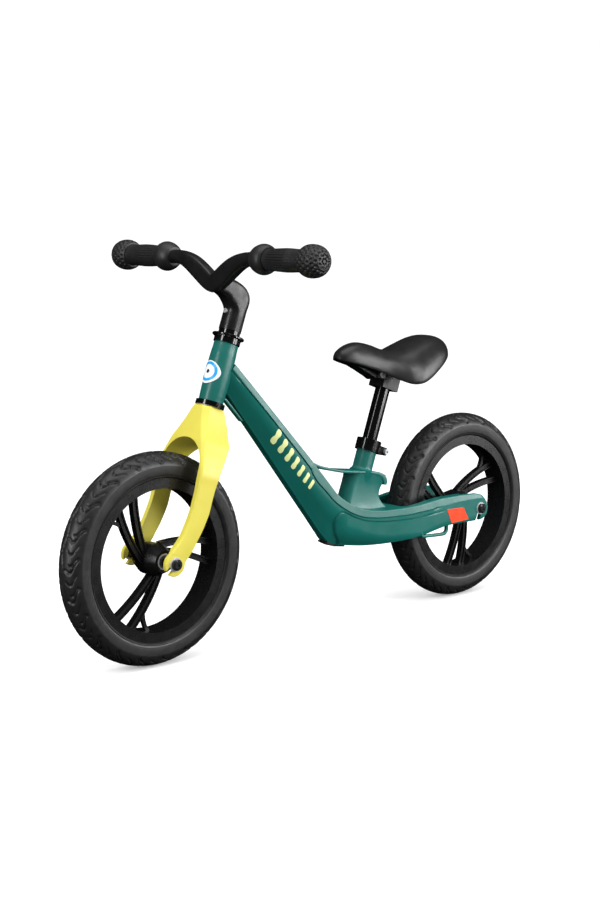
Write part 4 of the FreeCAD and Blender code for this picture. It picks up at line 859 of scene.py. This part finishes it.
BAR_X = 190.0
BAR_Z = 542.0
BAR_RADIUS = 9.5
STEM_RADIUS = 15.7
STEM_FOOT, STEM_BEND = 326.0, 344.0  # up the steering axis
GRIP_INNER = 86.0
# out from the middle plane, height, half height across the arm, half depth, squareness
ARM = [
    (0, 507.7, 12.2, 8.4, 5.0), (8, 510.6, 12.6, 8.4, 5.0), (18, 516.8, 13.0, 8.4, 5.0),
    (28, 523.4, 13.0, 8.4, 4.8), (40, 530.6, 12.4, 8.6, 4.4), (52, 536.4, 11.2, 8.9, 3.6),
    (64, 540.2, 10.1, 9.3, 2.6), (76, 541.8, 9.5, 9.5, 2.0), (90, 542, 9.5, 9.5, 2.0),
    (213, 542, 9.5, 9.5, 2.0),
]
# the stem above its round foot: rear or top point, front or lower point, half width, squareness
STEM = [
    (137.4, 469, 169.2, 472, 15.2, 2.2), (134.4, 480, 169.4, 477.6, 14.4, 3.2),
    (135.4, 490, 171.6, 482.8, 14.0, 4.2), (140.8, 499.2, 174.8, 487.6, 13.6, 4.6),
    (150, 506.6, 179, 491.4, 13.3, 4.6), (162, 512.6, 184, 494.6, 13.0, 4.6),
    (177, 517.4, 190, 497, 12.4, 4.2), (188, 519.4, 197, 499, 11.5, 4.0),
]


def superellipse(half_first, half_second, power, count=40):
    """A rounded closed section: an ellipse at a power of 2, and squarer above that."""
    loop = []
    for index in range(count):
        angle = 2 * math.pi * index / count
        first = math.copysign(abs(math.cos(angle)) ** (2 / power), math.cos(angle))
        second = math.copysign(abs(math.sin(angle)) ** (2 / power), math.sin(angle))
        loop.append((half_first * first, half_second * second))
    return loop


def handlebar_body():
    """Both arms as one skin from end to end, and the stem that carries them."""
    surface = bmesh.new()
    left = smooth_line(ARM, [4, 5, 5, 5, 5, 5, 5, 3, 2])
    whole = [(-y, *rest) for y, *rest in left[:0:-1]] + [tuple(row) for row in left]
    line = np.array([(row[0], row[1]) for row in whole])
    ways = np.gradient(line, axis=0)
    ways = ways / np.linalg.norm(ways, axis=1)[:, None]
    loops = []
    for (y, z, high, deep, power), way in zip(whole, ways):
        loops.append([(BAR_X + first, y - way[1] * second, z + way[0] * second)
                      for first, second in superellipse(deep, high, power)])
    skin(surface, loops)
    foot = []
    for height in (STEM_FOOT, STEM_BEND):
        middle, reach = STEERING + UP * height, FORWARD * STEM_RADIUS
        foot.append((*(middle - reach)[[0, 2]], *(middle + reach)[[0, 2]], STEM_RADIUS, 2.0))
    loops = []
    for rear_x, rear_z, front_x, front_z, half, power in smooth_line(foot + STEM, 5):
        middle = np.array([(rear_x + front_x) / 2, 0, (rear_z + front_z) / 2])
        reach = np.array([front_x - rear_x, 0, front_z - rear_z]) / 2
        length = np.linalg.norm(reach)
        loops.append([middle + reach / length * first + SIDE * second
                      for first, second in superellipse(length, half, power, 48)])
    skin(surface, loops)
    mesh = to_mesh("handlebar_body", surface)
    piece = new_piece("handlebar_body", mesh, SATIN, "steering", 40)
    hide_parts("handlebar")


handlebar_body()

# Distance out from the grip's inner end and height over the bar: a guard, the barrel and a bulb.
GRIP_SHAPE = [
    (0, 0.4), (0, 3.2), (0.7, 4.4), (3, 6.4), (8, 9.0), (14, 10.8), (19, 10.8), (24, 9.2), (27, 6.4),
    (29, 4.8), (62, 6.1), (92, 5.2), (95, 7.8), (102, 11.2), (110, 12.1), (119, 10.9), (125, 8.0),
    (129, 4.0), (130.6, 0.5), (131, -4.5), (131, -9.4),
]
GRIP_STEPS = [1, 2, 3, 5, 6, 5, 5, 3, 3, 14, 26, 3, 8, 9, 10, 7, 6, 5, 5, 5]
GRIP_SEGMENTS = 208
RIB_SPAN = (31.0, 86.0)
RIB_COUNT = 26
RIB_DEPTH = 0.9
DOT_START = 68  # from here out the ribs break up into dots
DOT_PITCH = 4.2
BULB_START = 96.5
DIMPLE_ROW, DIMPLE_GAP = 5.6, 6.4  # from row to row, and round a row
DIMPLE_RADIUS = 2.5
DIMPLE_DEPTH = 1.7
DIMPLES_ROUND = 18  # where the bulb is widest
WIDE_BULB = 16.0


def grip_relief(turn, along, radius, travel):
    """Height of the moulded relief: lengthwise ribs on the barrel and dimples on the bulb."""
    relief = 0.0
    start, end = RIB_SPAN
    if start < along < end:
        ends = min(1.0, (along - start) / 3, (end - along) / 3)
        wave = math.cos(2 * math.pi * RIB_COUNT * turn)
        dots = 1.0
        if along >= DOT_START:
            dots = max(0.0, math.sin(2 * math.pi * (along - DOT_START) / DOT_PITCH))
        relief -= RIB_DEPTH * ends * dots * max(0.0, wave) ** 1.4
    if along > BULB_START and radius > 3:
        row = (travel - 2) / DIMPLE_ROW
        around = DIMPLES_ROUND
        if radius < WIDE_BULB:
            around = max(6, round(2 * math.pi * radius / DIMPLE_GAP))
        nearest = math.floor(row + 0.5)
        column = turn * around + 0.5 * (nearest % 2)
        gap_along = (row - nearest) * DIMPLE_ROW
        gap_round = (column - math.floor(column + 0.5)) * 2 * math.pi * radius / around
        gap = math.hypot(gap_along, gap_round)
        if gap < DIMPLE_RADIUS:
            relief -= DIMPLE_DEPTH * (0.5 + 0.5 * math.cos(math.pi * gap / DIMPLE_RADIUS)) ** 0.6
    return relief


def grip_piece(name, node, side):
    """A grip on the left (side 1) or the right (side -1)."""
    shape = smooth_line(GRIP_SHAPE, GRIP_STEPS)
    travel = np.concatenate([[0], np.cumsum(np.linalg.norm(np.diff(shape, axis=0), axis=1))])
    start = travel[int(np.argmin(np.abs(shape[:, 0] - BULB_START)))]
    ways = np.gradient(shape, axis=0)
    ways = ways / np.maximum(np.linalg.norm(ways, axis=1), 1e-9)[:, None]
    loops = []
    for (along, extra), way, gone in zip(shape, ways, travel):
        radius = max(BAR_RADIUS + extra, 0.05)
        loop = []
        for index in range(GRIP_SEGMENTS):
            turn = index / GRIP_SEGMENTS
            relief = grip_relief(turn, along, radius, gone - start)
            angle = 2 * math.pi * turn
            out = radius + relief * way[0]
            y = side * (GRIP_INNER + along - relief * way[1])
            loop.append((BAR_X + out * math.cos(angle), y, BAR_Z + out * math.sin(angle)))
        loops.append(loop)
    surface = bmesh.new()
    skin(surface, loops)
    piece = new_piece(name, to_mesh(name, surface), GRIP, "steering", 40)
    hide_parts(node)


grip_piece("left_grip_rubber", "left_grip", 1)
grip_piece("right_grip_rubber", "right_grip", -1)

# ---- Saddle ----

# forward of the origin, half width, height of the lower edge, height of the crown
SADDLE_SHAPE = [
    (-36.5, 3, 391.5, 394.5), (-39, 8.5, 390.6, 398.6), (-45, 14, 388.6, 404.6), (-60, 20, 384.4, 411),
    (-78, 23.5, 379.2, 413.4), (-100, 27, 372, 408.8), (-118, 33, 364, 402.4), (-135, 42, 356, 399.2),
    (-150, 50, 351, 399.6), (-166, 54, 351.5, 403.8), (-183, 53, 357, 409.4), (-200, 50.5, 366, 414.4),
    (-216, 47, 375, 417), (-230, 41.5, 383, 416), (-241, 33, 388, 412), (-249, 22, 391, 405),
    (-253, 11, 392.2, 398.4), (-254.5, 3, 392.8, 394.6),
]
FOAM_DEPTH = 26.0  # from the crown to the hollow underneath
ROOF_SHARE = 0.74  # of the half width, where that hollow is flat
SIDE_POWER, CROWN_POWER = 2.5, 2.1
LIP = 1.4
SKIRT = 4.0


def saddle_piece():
    """The saddle's foam: a crowned section that changes from the nose to the tail, hollow below."""
    loops = []
    for x, half, low, top in smooth_line(SADDLE_SHAPE, 6):
        rise = top - low
        outer = []
        for angle in np.radians(np.arange(0, 91, 5)):
            y = half * math.sin(angle) ** (2 / SIDE_POWER)
            z = low + rise * math.cos(angle) ** (2 / CROWN_POWER)
            outer.append((y, z))
        # a rolled lip along the lower edge, then the inside of the skirt
        lip = min(LIP, 0.2 * half)
        roof = max(low + min(4.5, 0.4 * rise), top - FOAM_DEPTH)
        outer += [(half - out * lip, low - down * lip) for out, down in ((0.25, 0.5), (1.0, 0.8), (2.0, 0.5))]
        inner = max(half - SKIRT, 0.4 * half)
        outer += [(inner, low), (ROOF_SHARE * half, roof), (0.4 * half, roof), (0, roof)]
        loop = [(x, y, z) for y, z in outer]
        loop += [(x, -y, z) for y, z in reversed(outer[1:-1])]
        loops.append(loop)
    surface = bmesh.new()
    skin(surface, loops)
    piece = new_piece("saddle_skin", to_mesh("saddle_skin", surface), SADDLE, "seat", 50)
    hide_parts("saddle_cover")


saddle_piece()

# ---- Decoration: seven plain slanted bars on each flank of the beam, smaller and smaller ----

# in the side view: up the beam, across it, and the point that the bars are placed from
BEAM_WAY = np.array([0.655, 0.756])
BEAM_CROSS = np.array([-0.756, 0.655])
DECAL_START = np.array([91.0, 286.5])
# distance down the beam, half length across it, half width along it
DECAL_BARS = [
    (-7, 9.6, 5.2), (12, 9.2, 4.9), (30, 8.7, 4.5), (47, 8.2, 4.1), (63, 7.6, 3.7), (78, 7.0, 3.3),
    (92, 6.4, 2.9),
]
DECAL_SLANT = 0.35
DECAL_LIFT = 0.4


def decal_piece(name, side):
    """The bars of one flank, laid on its shape with their rims just under it."""
    surface = bmesh.new()
    for down, reach, half in DECAL_BARS:
        centre = DECAL_START - BEAM_WAY * down
        corners = [(-half - DECAL_SLANT * reach, -reach), (half - DECAL_SLANT * reach, -reach),
                   (half + DECAL_SLANT * reach, reach), (-half + DECAL_SLANT * reach, reach)]
        outline = rounded_outline(corners, [0.8 * half] * 4, 5)
        loops = []
        for share in (1.0, 0.985, 0.85, 0.7, 0.55, 0.4, 0.25, 0.1):
            lift = -0.1 if share == 1.0 else DECAL_LIFT
            loop = []
            for a, b in outline:
                place = centre + BEAM_WAY * a * share + BEAM_CROSS * b * share
                loop.append((place[0], side * (side_of(place[0], place[1]) + lift), place[1]))
            loops.append(loop)
        rows = skin(surface, loops, ends=False)
        surface.faces.new(rows[-1])
        surface.faces.new(rows[0])
    new_piece(name, to_mesh(name, surface), DECAL, "frame", 30)


decal_piece("left_beam_bars", 1)
decal_piece("right_beam_bars", -1)

# ---- Stage, camera and light ----

# All in metres, watts and millimetres of focal length.
CAMERA_PLACE = Vector((1.56307, 1.68099, 0.60753))
CAMERA_TARGET = Vector((0.03385, 0.0, 0.264735))
CAMERA_LENS = 64.05
SENSOR_WIDTH = 36.0
FLOOR_REACH = 300.0
# name, place, the point it faces, width, height, power
LIGHTS = [
    ("top", (0.2, 0.4, 2.4), (0, 0, 0.2), 2.4, 2.0, 30),
    ("front_strip", (2.6, 0.1, 1.0), (0.1, 0, 0.3), 0.5, 1.8, 28),
    ("left_strip", (-0.9, 2.45, 1.2), (-0.1, 0, 0.3), 0.35, 1.8, 32),
    ("side_box", (-2.1, 2.0, 0.62), (-0.1, 0, 0.22), 1.6, 1.2, 46),
]
HORIZON = (-0.03, -0.01)
WORLD_LOW, WORLD_HIGH = (0.10, 0.10, 0.10, 1), (1.0, 1.0, 1.0, 1)


def aim(item, place, target):
    """Puts a camera or a light at a place, facing a point."""
    item.location = place
    item.rotation_euler = (Vector(target) - Vector(place)).to_track_quat("-Z", "Y").to_euler()
    bpy.context.scene.collection.objects.link(item)


def stage():
    """A plain white floor."""
    mesh = bpy.data.meshes.new("floor")
    corners = [(x * FLOOR_REACH, y * FLOOR_REACH, 0) for x, y in ((-1, -1), (1, -1), (1, 1), (-1, 1))]
    mesh.from_pydata(corners, [], [(0, 1, 2, 3)])
    floor = bpy.data.objects.new("floor", mesh)
    bpy.context.scene.collection.objects.link(floor)
    white = bpy.data.materials.new("floor_white")
    white.use_nodes = True
    shader = white.node_tree.nodes["Principled BSDF"]
    shader.inputs["Base Color"].default_value = (0.9, 0.9, 0.9, 1)
    shader.inputs["Roughness"].default_value = 0.9
    shader.inputs["Specular IOR Level"].default_value = 0.1
    shader.inputs["Emission Color"].default_value = (1, 1, 1, 1)
    shader.inputs["Emission Strength"].default_value = 0.2
    mesh.materials.append(white)
    floor.visible_glossy = False
    floor.visible_diffuse = False


def area_light(name, place, target, width, height, power):
    data = bpy.data.lights.new(name, "AREA")
    data.shape = "RECTANGLE"
    data.size = width
    data.size_y = height
    data.energy = power
    aim(bpy.data.objects.new(name, data), place, target)


def camera():
    data = bpy.data.cameras.new("camera")
    data.lens = CAMERA_LENS
    data.sensor_width = SENSOR_WIDTH
    view = bpy.data.objects.new("camera", data)
    aim(view, CAMERA_PLACE, CAMERA_TARGET)
    bpy.context.scene.camera = view


def studio_world():
    """White above the horizon and dim below it, so that undersides stay dark."""
    world = bpy.data.worlds.new("studio")
    world.use_nodes = True
    tree = world.node_tree
    place = tree.nodes.new("ShaderNodeTexCoord")
    split = tree.nodes.new("ShaderNodeSeparateXYZ")
    tree.links.new(place.outputs["Generated"], split.inputs["Vector"])
    sky = remap(tree, split.outputs["Z"], *HORIZON, 0, 1)
    colour = mix_colour(tree, sky, WORLD_LOW, WORLD_HIGH)
    tree.links.new(colour, tree.nodes["Background"].inputs["Color"])
    tree.nodes["Background"].inputs["Strength"].default_value = 1.02
    world.cycles_visibility.glossy = False
    return world


stage()
camera()
for light in LIGHTS:
    area_light(*light)
bpy.context.scene.world = studio_world()
bpy.context.scene.view_settings.view_transform = "Standard"
